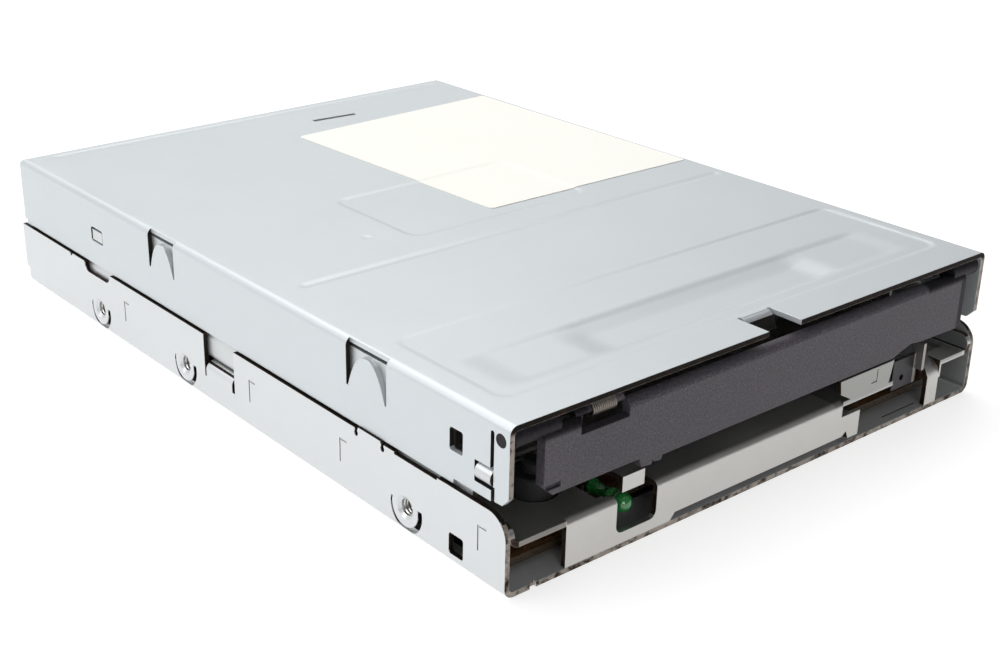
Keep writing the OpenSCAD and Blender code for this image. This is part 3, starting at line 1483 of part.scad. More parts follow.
// Door flap with its pivots, spring notch, tabs and rounded upper edge
module door() {
  l = door_left;
  r = door_right;
  y1 = door_y + door_t;
  rib = [door_pivot_z - 3.6, 0.9];
  color("#504d53") difference() {
    union() {
      // Outline seen from the front
      wall_xz(door_y, y1) polygon([
        [-l, door_top_z - 1.4], [-l, door_low_z + 1.5], [-l + 1.5, door_low_z],
        [-27.2, door_low_z], [-26.7, 11.5], [-24.8, 11.3], [-24.6, door_mid_z], [-24.4, 11.6],
        [-22.9, 11.4], [-22.7, door_mid_z], [28.6, door_mid_z], [30.4, door_low_z - 0.2],
        [32.8, door_low_z + 0.5], [35.4, door_low_z + 0.2], [r - 1, door_low_z],
        [r, door_low_z + 0.9], [r, door_top_z - 1.4]
      ]);
      // Rounded upper edge
      wall_yz(-l, r) difference() {
        union() {
          translate([door_y, door_top_z - 2.2]) square([door_t, 1.2]);
          translate([door_y + 1.2, door_top_z - 1.2]) circle(1.2);
          translate([door_y + 1.2, door_top_z - 2]) square([door_t - 1.2, 2]);
        }
        translate([door_y + door_t, door_top_z - 3]) square([2, 4]);
      }
      // Pivot arms and pins
      bar_x(1.5, -cover_in_x + 0.4, -l + 3, pivot_y, door_pivot_z);
      bar_x(1.5, r - 3, cover_in_x - 0.4, pivot_y, door_pivot_z);
      both_sides() bar_x(door_pin_r, l, cover_x - 0.05, pivot_y, door_pivot_z);
      // Stiffening rib on the inner face, open behind the stop tab
      for (x = [[-l + 3, -4], [7, r - 3]])
        span([x[0], y1 - eps, rib[0]], [x[1], y1 + rib[1], rib[0] + rib[1]]);
    }
    // Small recess above the left lower corner
    span([-l - eps, door_y - eps, door_low_z + 0.85], [-l + 2.9, door_y + 0.45, door_low_z + 1.7]);
    // Notch for the return spring
    span([-38.3, door_y - eps, door_pivot_z - 2.3], [-29.5, y1 + 1, case_h]);
  }
  // Arbor across the notch
  color("#504d53") bar_x(0.6, -38.3, -29.5, pivot_y, door_pivot_z);
}

door_coil = coil_path(6, 1, 0.72, 3.4, 1.3);

// Return spring on the door's arbor
module door_spring() {
  echo(door_spring_gap = self_gap(door_coil, spring_wire_r));
  color("rosybrown") translate([-35.6, pivot_y, door_pivot_z]) rotate([90, 0, 0]) rotate([0, 90, 0])
    wire(door_coil, spring_wire_r);
}

// Round switch housing under the left edge of the disk
module left_switch_body() {
  y = front_y + left_switch_d;
  top = plunger_top - plunger_travel - 0.3;
  color("#2e2e30") difference() {
    union() {
      bar_z(left_switch_r, board_top, top - 0.3, left_switch_x, y);
      translate([left_switch_x, y, top - 0.3]) cylinder(r1 = left_switch_r, r2 = left_switch_r - 0.3, h = 0.3);
      span([left_switch_x - 2.2, y, board_top], [left_switch_x + 2.2, y + 4.6, deck_z - 0.3]);
    }
    bar_z(1.6 + run_gap, top - 3, top + eps, left_switch_x, y);
  }
}

right_plunger_xs = [right_switch_x - right_plunger_pitch / 2, right_switch_x + right_plunger_pitch / 2];

// Twin switch housing under the right edge of the disk
module right_switch_body() {
  y = front_y + right_switch_d;
  top = plunger_top - plunger_travel - 0.3;
  color("#2e2e30") difference() {
    union() {
      span([right_switch_x - 3.8, y - 2.4, board_top], [right_switch_x + 3.8, y + 2.4, top - 1.2]);
      for (x = right_plunger_xs) bar_z(1.5, board_top, top, x, y);
    }
    for (x = right_plunger_xs) bar_z(0.9 + run_gap, top - 3, top + eps, x, y);
  }
}

// Plunger with a bevelled tip
module plunger(x, d, r) {
  color("whitesmoke") {
    bar_z(r, plunger_top - 3, plunger_top - 0.4, x, front_y + d);
    translate([x, front_y + d, plunger_top - 0.4]) cylinder(r1 = r, r2 = r - 0.4, h = 0.4);
  }
}

module density_plunger() {
  plunger(left_switch_x, left_switch_d, 1.6);
}

module disk_in_plunger() {
  plunger(right_plunger_xs[0], right_switch_d, 0.9);
}

module write_protect_plunger() {
  plunger(right_plunger_xs[1], right_switch_d, 0.9);
}

base_pan();
deck_frame();
top_cover();
disk_posts();
insulating_sheet();
main_board();
board_screws();
signal_header();
signal_pins();
power_header();
power_pins();
controller_chips();
small_components();
activity_led();
led_leads();
motor_plate();
motor_screws();
spindle_bearing();
stator_core();
stator_coils();
rotor_cup();
rotor_magnet();
spindle_shaft();
hub_table();
hub_magnet();
drive_pin();
drive_pin_spring();
stepper_motor();
stepper_bracket();
deck_screws();
lead_screw();
screw_end_bearing();
guide_rod();
rod_clamps();
head_carriage();
screw_follower();
lower_head();
arm_pin();
arm_spring();
upper_arm();
upper_head();
head_flex_cable();
flex_connector();
track_zero_sensor();
index_sensor();
disk_cage();
cage_pins();
latch_lever();
latch_spring();
eject_slider();
slider_guides();
slider_springs();
door();
door_spring();
left_switch_body();
right_switch_body();
disk_in_plunger();
write_protect_plunger();
density_plunger();
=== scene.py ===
import json
import math

import bmesh
import bpy
from mathutils import Matrix, Vector


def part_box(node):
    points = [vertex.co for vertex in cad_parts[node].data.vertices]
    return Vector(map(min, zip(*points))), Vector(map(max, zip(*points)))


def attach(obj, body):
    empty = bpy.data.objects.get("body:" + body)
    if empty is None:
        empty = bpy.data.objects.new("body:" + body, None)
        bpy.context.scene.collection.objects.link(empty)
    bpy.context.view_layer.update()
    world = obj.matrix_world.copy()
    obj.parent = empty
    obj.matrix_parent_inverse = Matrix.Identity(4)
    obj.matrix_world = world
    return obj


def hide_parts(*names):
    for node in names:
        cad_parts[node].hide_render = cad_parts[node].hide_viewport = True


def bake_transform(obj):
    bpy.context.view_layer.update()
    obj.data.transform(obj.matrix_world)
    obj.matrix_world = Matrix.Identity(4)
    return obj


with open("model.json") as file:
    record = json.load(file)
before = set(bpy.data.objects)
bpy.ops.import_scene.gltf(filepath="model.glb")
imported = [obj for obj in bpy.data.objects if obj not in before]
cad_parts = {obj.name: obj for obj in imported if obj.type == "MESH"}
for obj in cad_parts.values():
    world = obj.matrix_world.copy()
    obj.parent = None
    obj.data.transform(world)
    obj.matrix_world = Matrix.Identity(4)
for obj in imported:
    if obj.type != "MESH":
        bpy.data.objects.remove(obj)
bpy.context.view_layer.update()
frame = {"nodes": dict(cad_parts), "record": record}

scene = bpy.context.scene
MM = 0.001

# ---------------------------------------------------------------- camera, solved from the case's corners
camera_data = bpy.data.cameras.new("view")
camera = bpy.data.objects.new("view", camera_data)
scene.collection.objects.link(camera)
right = Vector((0.783425, -0.62147234, 0.00417018))
down = Vector((-0.24319957, -0.31273731, -0.91817718))
ahead = Vector((0.5719259, 0.71830878, -0.39614804))
camera.matrix_world = (
    Matrix.Translation(Vector((-161.653, -195.603, 110.292)) * MM)
    @ Matrix((right, -down, -ahead)).transposed().to_4x4()
)
camera_data.sensor_width = 36
camera_data.lens = 55.02
camera_data.shift_x = 0.065
camera_data.shift_y = -0.00665
camera_data.clip_start = 0.01
camera_data.clip_end = 20
scene.camera = camera


# ---------------------------------------------------------------- node helpers
def add(tree, kind, inputs=None, **settings):
    """A shader node with its settings and socket values."""
    node = tree.nodes.new(kind)
    for name, value in settings.items():
        setattr(node, name, value)
    for key, value in (inputs or {}).items():
        socket = node.inputs[key]
        if isinstance(value, bpy.types.NodeSocket):
            tree.links.new(value, socket)
        else:
            socket.default_value = value
    return node


def maths(tree, operation, a, b=0.0, c=0.0, clamp=False):
    """Result socket of a Math node."""
    node = add(tree, "ShaderNodeMath", {0: a, 1: b, 2: c}, operation=operation, use_clamp=clamp)
    return node.outputs[0]


def times(tree, a, b):
    """Product of two values."""
    return maths(tree, "MULTIPLY", a, b)


def vector_maths(tree, operation, a, b=(0.0, 0.0, 0.0)):
    """Output sockets of a Vector Math node."""
    return add(tree, "ShaderNodeVectorMath", {0: a, 1: b}, operation=operation).outputs


def split(tree, vector):
    """X, Y and Z sockets of a vector."""
    return add(tree, "ShaderNodeSeparateXYZ", {"Vector": vector}).outputs


def ramp(tree, value, low, high, to_low=0.0, to_high=1.0):
    """Smooth change from to_low to to_high while value runs from low to high."""
    node = add(tree, "ShaderNodeMapRange", {
        "Value": value, "From Min": low, "From Max": high, "To Min": to_low, "To Max": to_high,
    }, interpolation_type="SMOOTHSTEP")
    return node.outputs["Result"]


def blend_colour(tree, factor, a, b):
    """Colour socket that runs from a to b."""
    node = add(tree, "ShaderNodeMix", {"Factor": factor}, data_type="RGBA")
    for socket, value in ((node.inputs[6], a), (node.inputs[7], b)):
        if isinstance(value, bpy.types.NodeSocket):
            tree.links.new(value, socket)
        else:
            socket.default_value = (*value, 1.0)
    return node.outputs[2]


def new_group(name, inputs, outputs):
    """Empty shader node group with named float and vector sockets."""
    tree = bpy.data.node_groups.new(name, "ShaderNodeTree")
    for label, kind, default in inputs:
        tree.interface.new_socket(label, in_out="INPUT", socket_type=kind).default_value = default
    for label, kind in outputs:
        tree.interface.new_socket(label, in_out="OUTPUT", socket_type=kind)
    return tree, tree.nodes.new("NodeGroupInput"), tree.nodes.new("NodeGroupOutput")


FLOAT, VECTOR = "NodeSocketFloat", "NodeSocketVector"


def object_place(tree):
    """Place of a point in the object's own space, which is the shared frame."""
    return add(tree, "ShaderNodeTexCoord").outputs["Object"]


def object_axes(tree):
    """X, Y and Z of a point in the shared frame, in metres."""
    return split(tree, object_place(tree))


def noise(tree, vector, scale, detail=3.0, rough=0.5):
    """Cloudy pattern from 0 to 1."""
    node = add(tree, "ShaderNodeTexNoise", {"Vector": vector, "Scale": scale, "Detail": detail, "Roughness": rough})
    return node.outputs["Fac"]


def bump_normal(tree, strength, distance, height, normal=None):
    """Normal socket of a Bump node."""
    inputs = {"Strength": strength, "Distance": distance, "Height": height}
    if normal is not None:
        inputs["Normal"] = normal
    return add(tree, "ShaderNodeBump", inputs).outputs["Normal"]


def make_zinc_skin():
    """Zinc coating: fine grain, very faint mottling, roller lines along the sheet and hairline rubs."""
    tree, ins, outs = new_group("zinc_skin", [("Spangle", FLOAT, 400.0), ("Rub", FLOAT, 1.0)],
                                [("Tone", FLOAT), ("Gloss", FLOAT), ("Height", FLOAT)])
    place = object_place(tree)
    cells = add(tree, "ShaderNodeTexVoronoi", {"Vector": place, "Scale": ins.outputs["Spangle"]},
                feature="SMOOTH_F1")
    shade = add(tree, "ShaderNodeSeparateColor", {"Color": cells.outputs["Color"]})
    grain = noise(tree, place, 5200.0, 2.0)
    cloud = noise(tree, place, 52.0, 4.0, 0.6)
    rolled = vector_maths(tree, "MULTIPLY", place, (1500.0, 60.0, 1500.0))[0]
    lines = noise(tree, rolled, 1.0, 3.0, 0.6)
    scratched = vector_maths(tree, "MULTIPLY", place, (170.0, 4200.0, 4200.0))[0]
    rubs = ramp(tree, noise(tree, scratched, 1.0, 2.0, 0.7), 0.66, 0.84)
    rubs = times(tree, rubs, ins.outputs["Rub"])
    tone = maths(tree, "MULTIPLY_ADD", shade.outputs[0], 0.10, times(tree, grain, 0.34))
    tone = maths(tree, "ADD", tone, maths(tree, "MULTIPLY_ADD", cloud, 0.30, times(tree, lines, 0.26)))
    tone = maths(tree, "ADD", tone, times(tree, rubs, 0.25), clamp=True)
    gloss = maths(tree, "MULTIPLY_ADD", cloud, 0.5, times(tree, lines, 0.5))
    height = maths(tree, "MULTIPLY_ADD", rubs, -0.5, times(tree, grain, 0.45))
    height = maths(tree, "ADD", height, times(tree, lines, 0.35))
    tree.links.new(tone, outs.inputs["Tone"])
    tree.links.new(gloss, outs.inputs["Gloss"])
    tree.links.new(height, outs.inputs["Height"])
    return tree


def make_edge_wear_and_highlight():
    """Where a surface lies beside a sharp edge, and the normal of a slightly rounded edge."""
    tree, ins, outs = new_group("edge_wear_and_highlight", [("Radius", FLOAT, 0.00018)], [("Mask", FLOAT), ("Normal", VECTOR)])
    soft = add(tree, "ShaderNodeBevel", {"Radius": ins.outputs["Radius"]}, samples=6)
    flat = add(tree, "ShaderNodeNewGeometry").outputs["Normal"]
    agree = vector_maths(tree, "DOT_PRODUCT", soft.outputs[0], flat)["Value"]
    chips = ramp(tree, noise(tree, object_place(tree), 900.0, 3.0, 0.7), 0.3, 0.62, 0.25, 1.0)
    tree.links.new(times(tree, ramp(tree, agree, 0.995, 0.93), chips), outs.inputs["Mask"])
    tree.links.new(soft.outputs[0], outs.inputs["Normal"])
    return tree


SIDE_HOLES = (-49.9, 10.1, 40.1)    # Y of the screw holes in each side wall, mm
HOLE_Z = 4.2
COLLAR_RADIUS = 2.2
WALL_SKIN = 0.05062                 # beyond this |X|, in metres, lies the outer face of the pan's walls
SQUARE = 0.8                        # part of a normal along an axis from which a face counts as square to it


def make_cut_faces():
    """Bare sheared faces of folded sheet, told from the coated faces by where they point and lie."""
    tree, ins, outs = new_group(
        "cut_faces",
        [("Wall", FLOAT, 0.0488), ("Front", FLOAT, -0.066), ("Low", FLOAT, 0.0012), ("High", FLOAT, 0.0246),
         ("Inside", FLOAT, 0.0), ("Curved", FLOAT, 0.0), ("Left", FLOAT, -1.0)],
        [("Mask", FLOAT)])
    way = split(tree, add(tree, "ShaderNodeNewGeometry").outputs["True Normal"])
    at = object_axes(tree)
    sideways = maths(tree, "ABSOLUTE", at["X"])
    lean = maths(tree, "ABSOLUTE", way["X"])
    facing_front = maths(tree, "LESS_THAN", way["Y"], -SQUARE)
    front_edge = times(tree, facing_front, maths(tree, "LESS_THAN", at["Y"], ins.outputs["Front"]))
    left_edge = times(tree, facing_front, maths(tree, "LESS_THAN", at["X"], ins.outputs["Left"]))
    front_edge = maths(tree, "MAXIMUM", front_edge, times(tree, left_edge, 0.6))
    in_wall = maths(tree, "GREATER_THAN", sideways, ins.outputs["Wall"])
    between = times(tree, maths(tree, "GREATER_THAN", at["Z"], ins.outputs["Low"]),
                    maths(tree, "LESS_THAN", at["Z"], ins.outputs["High"]))
    level = maths(tree, "GREATER_THAN", maths(tree, "ABSOLUTE", way["Z"]), SQUARE)
    seam = times(tree, times(tree, level, in_wall), between)
    thick_side = times(tree, maths(tree, "LESS_THAN", lean, 0.3), maths(tree, "LESS_THAN", sideways, WALL_SKIN))
    thick_side = times(tree, times(tree, thick_side, between), ins.outputs["Curved"])
    window_side = maths(tree, "MAXIMUM", maths(tree, "LESS_THAN", way["Y"], -0.995), thick_side)
    window_side = times(tree, window_side, in_wall)
    for hole_y in SIDE_HOLES:
        off = vector_maths(tree, "SUBTRACT", object_place(tree), (0.0, hole_y * MM, HOLE_Z * MM))[0]
        flat = vector_maths(tree, "MULTIPLY", off, (0.0, 1.0, 1.0))[0]
        apart = vector_maths(tree, "LENGTH", flat)["Value"]
        window_side = times(tree, window_side, maths(tree, "GREATER_THAN", apart, COLLAR_RADIUS * MM))
    seam = maths(tree, "MAXIMUM", seam, window_side)
    end_face = times(tree, maths(tree, "GREATER_THAN", lean, SQUARE),
                     maths(tree, "LESS_THAN", sideways, ins.outputs["Inside"]))
    mask = maths(tree, "MAXIMUM", maths(tree, "MAXIMUM", front_edge, seam), end_face)
    tree.links.new(mask, outs.inputs["Mask"])
    return tree


def make_mould_grain():
    """Fine sparked texture of a moulding: painted glints as pale sparkles, pits and slow changes of tone."""
    tree, ins, outs = new_group("mould_grain", [("Scale", FLOAT, 2600.0)],
                                [("Tone", FLOAT), ("Sparkle", FLOAT), ("Height", FLOAT)])
    place = object_place(tree)
    pits = add(tree, "ShaderNodeTexVoronoi", {"Vector": place, "Scale": ins.outputs["Scale"]},
               feature="SMOOTH_F1")
    fine = noise(tree, place, 3300.0, 2.0)
    slow = noise(tree, place, 45.0, 3.0)
    points = add(tree, "ShaderNodeTexVoronoi", {"Vector": place, "Scale": 4300.0}, feature="F1")
    lit = add(tree, "ShaderNodeSeparateColor", {"Color": points.outputs["Color"]})
    sparkle = times(tree, ramp(tree, points.outputs["Distance"], 0.1, 0.42, 1.0, 0.0),
                    ramp(tree, lit.outputs[0], 0.4, 0.95))
    tree.links.new(sparkle, outs.inputs["Sparkle"])
    speckle = ramp(tree, fine, 0.34, 0.66)
    tree.links.new(maths(tree, "MULTIPLY_ADD", speckle, 0.6, times(tree, slow, 0.4)), outs.inputs["Tone"])
    tree.links.new(maths(tree, "MULTIPLY_ADD", pits.outputs["Distance"], 0.8, times(tree, fine, 0.5)),
                   outs.inputs["Height"])
    return tree


ZINC_SKIN = make_zinc_skin()
EDGE_WEAR_AND_HIGHLIGHT = make_edge_wear_and_highlight()
CUT_FACES = make_cut_faces()
MOULD_GRAIN = make_mould_grain()


def use_group(tree, group, **values):
    """Output sockets of a group placed in a tree with its own values."""
    node = tree.nodes.new("ShaderNodeGroup")
    node.node_tree = group
    for name, value in values.items():
        node.inputs[name].default_value = value
    return node.outputs


def new_material(name):
    """Material with its node tree and its shader."""
    material = bpy.data.materials.new(name)
    material.use_nodes = True
    return material, material.node_tree, material.node_tree.nodes["Principled BSDF"]


def finish_colour(tree, shader, colour, roughness, normal):
    """Link what changes over the surface to the shader."""
    tree.links.new(colour, shader.inputs["Base Color"])
    tree.links.new(roughness, shader.inputs["Roughness"])
    tree.links.new(normal, shader.inputs["Normal"])


# ---------------------------------------------------------------- materials
# Each pair is where a mask starts and where it is full, in metres.
WALL_START = (0.0482, 0.0486)           # the deck's side walls
# Painted shade: the deck's inside at its right front is darkened between these X, above this height and in front of
# this Y.
SHADE_LEFT, SHADE_RIGHT = (0.0150, 0.0157), (0.0482, 0.0478)
SHADE_FOOT, SHADE_REAR = (0.0070, 0.0078), (-0.048, -0.058)
TOP_EDGE = (0.0232, 0.0240)             # the front edge of the cover's top, whose cut face is painted near-black as shade
PAN_FLOOR, PAN_FLOOR_TOP = (0.0005, 0.0007), (0.0011, 0.0009)
FRONT_EDGE_Y = -0.070                   # cut faces behind it are sides of windows, painted dark as shade
SHEET_EDGE, METAL_EDGE, PLASTIC_EDGE = 0.00014, 0.00012, 0.00022    # widths of rounded edges, where wear and painted highlights lie
# tone of the painted shade inside the deck's right front
SHADE_TONE = (0.30, 0.305, 0.29)
RUB_AND_HIGHLIGHT = (0.82, 0.81, 0.79)
BROWN_RIM = (0.50, 0.43, 0.38)
RUST = (0.030, 0.018, 0.012)


def sheet_metal(name, light, dark, cut=None, metallic=0.55, rough=(0.36, 0.46), spangle=420.0, rub=0.6,
                top_cut_shade=None, window_shade=None, wall_tint=None, dull_floor=False, rust_from=0.42, **cut_place):
    """Coated sheet steel, its sheared faces dull and brown with specks of rust, with painted shade on some cut
    faces and painted highlights along edges.
    """
    material, tree, shader = new_material(name)
    skin = use_group(tree, ZINC_SKIN, Spangle=spangle, Rub=rub)
    edge = use_group(tree, EDGE_WEAR_AND_HIGHLIGHT, Radius=SHEET_EDGE)
    at = object_axes(tree)
    colour = blend_colour(tree, skin["Tone"], dark, light)
    if wall_tint is not None:
        walls = ramp(tree, maths(tree, "ABSOLUTE", at["X"]), *WALL_START)
        colour = blend_colour(tree, times(tree, walls, 0.8), colour, wall_tint)
        # painted shade darkens the deck's inside at its right front
        shaded = times(tree, ramp(tree, at["X"], *SHADE_LEFT), ramp(tree, at["X"], *SHADE_RIGHT))
        shaded = times(tree, shaded, ramp(tree, at["Z"], *SHADE_FOOT))
        shaded = times(tree, shaded, ramp(tree, at["Y"], *SHADE_REAR))
        colour = blend_colour(tree, times(tree, shaded, 0.8), colour, SHADE_TONE)
    roughness = ramp(tree, skin["Gloss"], 0.25, 0.75, *rough)
    # edges lightened by rubbed wear and a painted highlight
    colour = blend_colour(tree, times(tree, edge["Mask"], 0.35), colour, RUB_AND_HIGHLIGHT)
    shader.inputs["Metallic"].default_value = metallic
    if cut is not None:
        sheared = use_group(tree, CUT_FACES, **cut_place)["Mask"]
        rusty = ramp(tree, noise(tree, object_place(tree), 520.0, 5.0, 0.7), rust_from, rust_from + 0.2)
        # painted shade: the cut face along the cover's top front edge is near-black
        if top_cut_shade is not None:
            cut = blend_colour(tree, ramp(tree, at["Z"], *TOP_EDGE), cut, top_cut_shade)
        # painted shade: cut faces behind the front edge, the sides of windows, are near-black
        if window_shade is not None:
            cut = blend_colour(tree, maths(tree, "GREATER_THAN", at["Y"], FRONT_EDGE_Y), cut, window_shade)
        colour = blend_colour(tree, sheared, colour, blend_colour(tree, rusty, cut, RUST))
        # bare brown rim along the cut faces' edges, lightened as a painted highlight
        rim = times(tree, times(tree, edge["Mask"], sheared), 0.55)
        colour = blend_colour(tree, rim, colour, BROWN_RIM)
        roughness = maths(tree, "MULTIPLY_ADD", sheared, 0.2, roughness)
        metal = ramp(tree, sheared, 0.0, 1.0, metallic, 1.0)
        if dull_floor:
            inside = times(tree, ramp(tree, at["Z"], *PAN_FLOOR), ramp(tree, at["Z"], *PAN_FLOOR_TOP))
            metal = times(tree, metal, ramp(tree, inside, 0.0, 1.0, 1.0, 0.25))
        tree.links.new(metal, shader.inputs["Metallic"])
    normal = bump_normal(tree, 0.06, 0.00006, skin["Height"], edge["Normal"])
    finish_colour(tree, shader, colour, roughness, normal)
    return material


def turned_metal(name, light, dark, rough=(0.14, 0.3), bump=0.05):
    """Bare or plated metal with fine tool marks."""
    material, tree, shader = new_material(name)
    place = object_place(tree)
    marks = noise(tree, place, 2600.0, 3.0, 0.7)
    cloud = noise(tree, place, 120.0, 3.0)
    edge = use_group(tree, EDGE_WEAR_AND_HIGHLIGHT, Radius=METAL_EDGE)
    colour = blend_colour(tree, cloud, dark, light)
    uneven = maths(tree, "MULTIPLY_ADD", marks, 0.5, times(tree, cloud, 0.5))
    shader.inputs["Metallic"].default_value = 1.0
    finish_colour(tree, shader, colour, ramp(tree, uneven, 0.3, 0.7, *rough),
                  bump_normal(tree, bump, 0.00003, marks, edge["Normal"]))
    return material


def moulding(name, light, dark, rough=(0.45, 0.6), grain=2600.0, bump=0.25, specular=0.5, rim=None, sparkle=None):
    """Injection-moulded plastic."""
    material, tree, shader = new_material(name)
    skin = use_group(tree, MOULD_GRAIN, Scale=grain)
    edge = use_group(tree, EDGE_WEAR_AND_HIGHLIGHT, Radius=PLASTIC_EDGE)
    colour = blend_colour(tree, skin["Tone"], dark, light)
    if sparkle is not None:
        # painted glints: pale points blended into the colour
        colour = blend_colour(tree, times(tree, skin["Sparkle"], 0.45), colour, sparkle)
    if rim is not None:
        colour = blend_colour(tree, times(tree, edge["Mask"], 0.5), colour, rim)
    shader.inputs["Specular IOR Level"].default_value = specular
    finish_colour(tree, shader, colour, ramp(tree, skin["Tone"], 0.3, 0.7, *rough),
                  bump_normal(tree, bump, 0.00008, skin["Height"], edge["Normal"]))
    return material


# Painted shade lies on the door's arms beyond this X and above this Z, and on its pivots.
DOOR_ARM_X, DOOR_ARM_Z, PIVOT_X = (0.0356, 0.0364), (0.0206, 0.0216), (0.0445, 0.0450)


def door_moulding():
    """Grained door plastic with painted shade on its arms and pivots, which are darker and more metallic there."""
    material = moulding("door_moulding", (0.105, 0.093, 0.110), (0.030, 0.027, 0.032), rough=(0.5, 0.62),
                        grain=1500.0, bump=0.7, specular=0.4, rim=(0.11, 0.10, 0.11), sparkle=(0.30, 0.27, 0.30))
    tree = material.node_tree
    shader = tree.nodes["Principled BSDF"]
    at = object_axes(tree)
    outward = maths(tree, "ABSOLUTE", at["X"])
    # painted shade where the cover overhangs the door's arms and at its pivots
    arms = times(tree, ramp(tree, outward, *DOOR_ARM_X), ramp(tree, at["Z"], *DOOR_ARM_Z))
    door_end_shade = maths(tree, "MAXIMUM", ramp(tree, outward, *PIVOT_X), arms)
    grained = shader.inputs["Base Color"].links[0].from_socket
    colour = blend_colour(tree, times(tree, door_end_shade, 0.7), grained, (0.012, 0.011, 0.012))
    tree.links.new(colour, shader.inputs["Base Color"])
    tree.links.new(times(tree, door_end_shade, 0.85), shader.inputs["Metallic"])
    return material


def green_lens():
    """Clear green resin of the indicator."""
    material, tree, shader = new_material("indicator_resin")
    cloud = noise(tree, object_place(tree), 700.0, 2.0)
    colour = blend_colour(tree, cloud, (0.008, 0.17, 0.03), (0.04, 0.42, 0.09))
    shader.inputs["Transmission Weight"].default_value = 0.4
    shader.inputs["IOR"].default_value = 1.5
    shader.inputs["Coat Weight"].default_value = 1.0
    shader.inputs["Coat Roughness"].default_value = 0.02
    finish_colour(tree, shader, colour, ramp(tree, cloud, 0.3, 0.7, 0.03, 0.07),
                  bump_normal(tree, 0.05, 0.00003, cloud))
    return material


CUT = (0.085, 0.062, 0.045)
NOSE_FRONT, NOSE_TOP = (-0.0684, -0.0689), (0.0107, 0.0100)
BLADE_LEFT, PLATE_RIGHT = (0.0366, 0.0369), (0.0369, 0.0366)


def nose_steel():
    """Zinc sheet whose front plate is coloured near-black and whose blade is darker."""
    material = sheet_metal("slider_zinc", (0.60, 0.59, 0.565), (0.52, 0.51, 0.485), cut=CUT, metallic=0.9,
                           Wall=0.06, Front=-0.0716, Inside=0.0)
    tree = material.node_tree
    shader = tree.nodes["Principled BSDF"]
    at = object_axes(tree)
    nose = ramp(tree, at["Y"], *NOSE_FRONT)
    plate = times(tree, times(tree, nose, ramp(tree, at["Z"], *NOSE_TOP)), ramp(tree, at["X"], *PLATE_RIGHT))
    blade = times(tree, ramp(tree, at["X"], *BLADE_LEFT), nose)
    plain_colour = shader.inputs["Base Color"].links[0].from_socket
    # the blade is darkened and the front plate made near-black
    colour = blend_colour(tree, times(tree, blade, 0.6), plain_colour, (0.20, 0.18, 0.16))
    colour = blend_colour(tree, times(tree, plate, 0.96), colour, (0.035, 0.032, 0.037))
    tree.links.new(colour, shader.inputs["Base Color"])
    return material


LEADS_TOP = 0.00351


def chip_resin():
    """Black moulded packages with tinned leads at their feet."""
    material, tree, shader = new_material("chip_resin")
    skin = use_group(tree, MOULD_GRAIN, Scale=3400.0)
    lead = maths(tree, "LESS_THAN", object_axes(tree)["Z"], LEADS_TOP)
    colour = blend_colour(tree, skin["Tone"], (0.014, 0.014, 0.015), (0.03, 0.03, 0.032))
    colour = blend_colour(tree, lead, colour, (0.55, 0.55, 0.54))
    tree.links.new(lead, shader.inputs["Metallic"])
    finish_colour(tree, shader, colour, ramp(tree, skin["Tone"], 0.3, 0.7, 0.4, 0.5),
                  bump_normal(tree, 0.3, 0.00005, skin["Height"]))
    return material


def circuit_board(name, mask, track, base):
    """Coated board with copper tracks showing faintly through the coating."""
    material, tree, shader = new_material(name)
    place = object_place(tree)
    flat = vector_maths(tree, "MULTIPLY", place, (1.0, 1.0, 0.0))[0]
    cells = add(tree, "ShaderNodeTexVoronoi", {"Vector": flat, "Scale": 190.0}, feature="DISTANCE_TO_EDGE")
    bricks = add(tree, "ShaderNodeTexBrick", {"Vector": flat, "Scale": 90.0, "Mortar Size": 0.03,
                                              "Mortar Smooth": 0.2})
    tracks = maths(tree, "MAXIMUM", ramp(tree, cells.outputs["Distance"], 0.05, 0.10, 1.0, 0.0),
                   times(tree, bricks.outputs["Fac"], 0.8), clamp=True)
    way = split(tree, add(tree, "ShaderNodeNewGeometry").outputs["Normal"])
    flat_face = maths(tree, "GREATER_THAN", maths(tree, "ABSOLUTE", way["Z"]), 0.7)
    cloth = noise(tree, place, 1500.0, 3.0, 0.6)
    sawn = blend_colour(tree, cloth, base, tuple(c * 0.6 for c in base))
    colour = blend_colour(tree, flat_face, sawn, blend_colour(tree, tracks, mask, track))
    finish_colour(tree, shader, colour, ramp(tree, cloth, 0.3, 0.7, 0.24, 0.42),
                  bump_normal(tree, 0.5, 0.00004, maths(tree, "MULTIPLY_ADD", cloth, 0.2, tracks)))
    return material


def label_paper():
    """Cream coated paper, a little yellowed and rubbed."""
    material, tree, shader = new_material("label_paper")
    place = object_place(tree)
    fibre = noise(tree, place, 1900.0, 5.0, 0.7)
    cloud = noise(tree, place, 60.0, 4.0, 0.6)
    colour = blend_colour(tree, cloud, (0.95, 0.94, 0.87), (0.98, 0.975, 0.93))
    colour = blend_colour(tree, ramp(tree, fibre, 0.55, 0.8, 0.0, 0.25), colour, (0.92, 0.90, 0.82))
    shader.inputs["Sheen Weight"].default_value = 0.05
    finish_colour(tree, shader, colour, ramp(tree, cloud, 0.3, 0.7, 0.5, 0.65),
                  bump_normal(tree, 0.12, 0.00004, fibre))
    return material


def wound_copper():
    """Enamelled wire laid in close turns."""
    material, tree, shader = new_material("wound_copper")
    place = object_place(tree)
    turns = add(tree, "ShaderNodeTexWave", {"Vector": place, "Scale": 900.0, "Distortion": 0.6, "Detail": 1.0},
                wave_type="RINGS", rings_direction="Z").outputs["Fac"]
    colour = blend_colour(tree, turns, (0.30, 0.09, 0.03), (0.62, 0.24, 0.09))
    shader.inputs["Metallic"].default_value = 0.9
    finish_colour(tree, shader, colour, ramp(tree, turns, 0.0, 1.0, 0.25, 0.4),
                  bump_normal(tree, 0.8, 0.0001, turns))
    return material
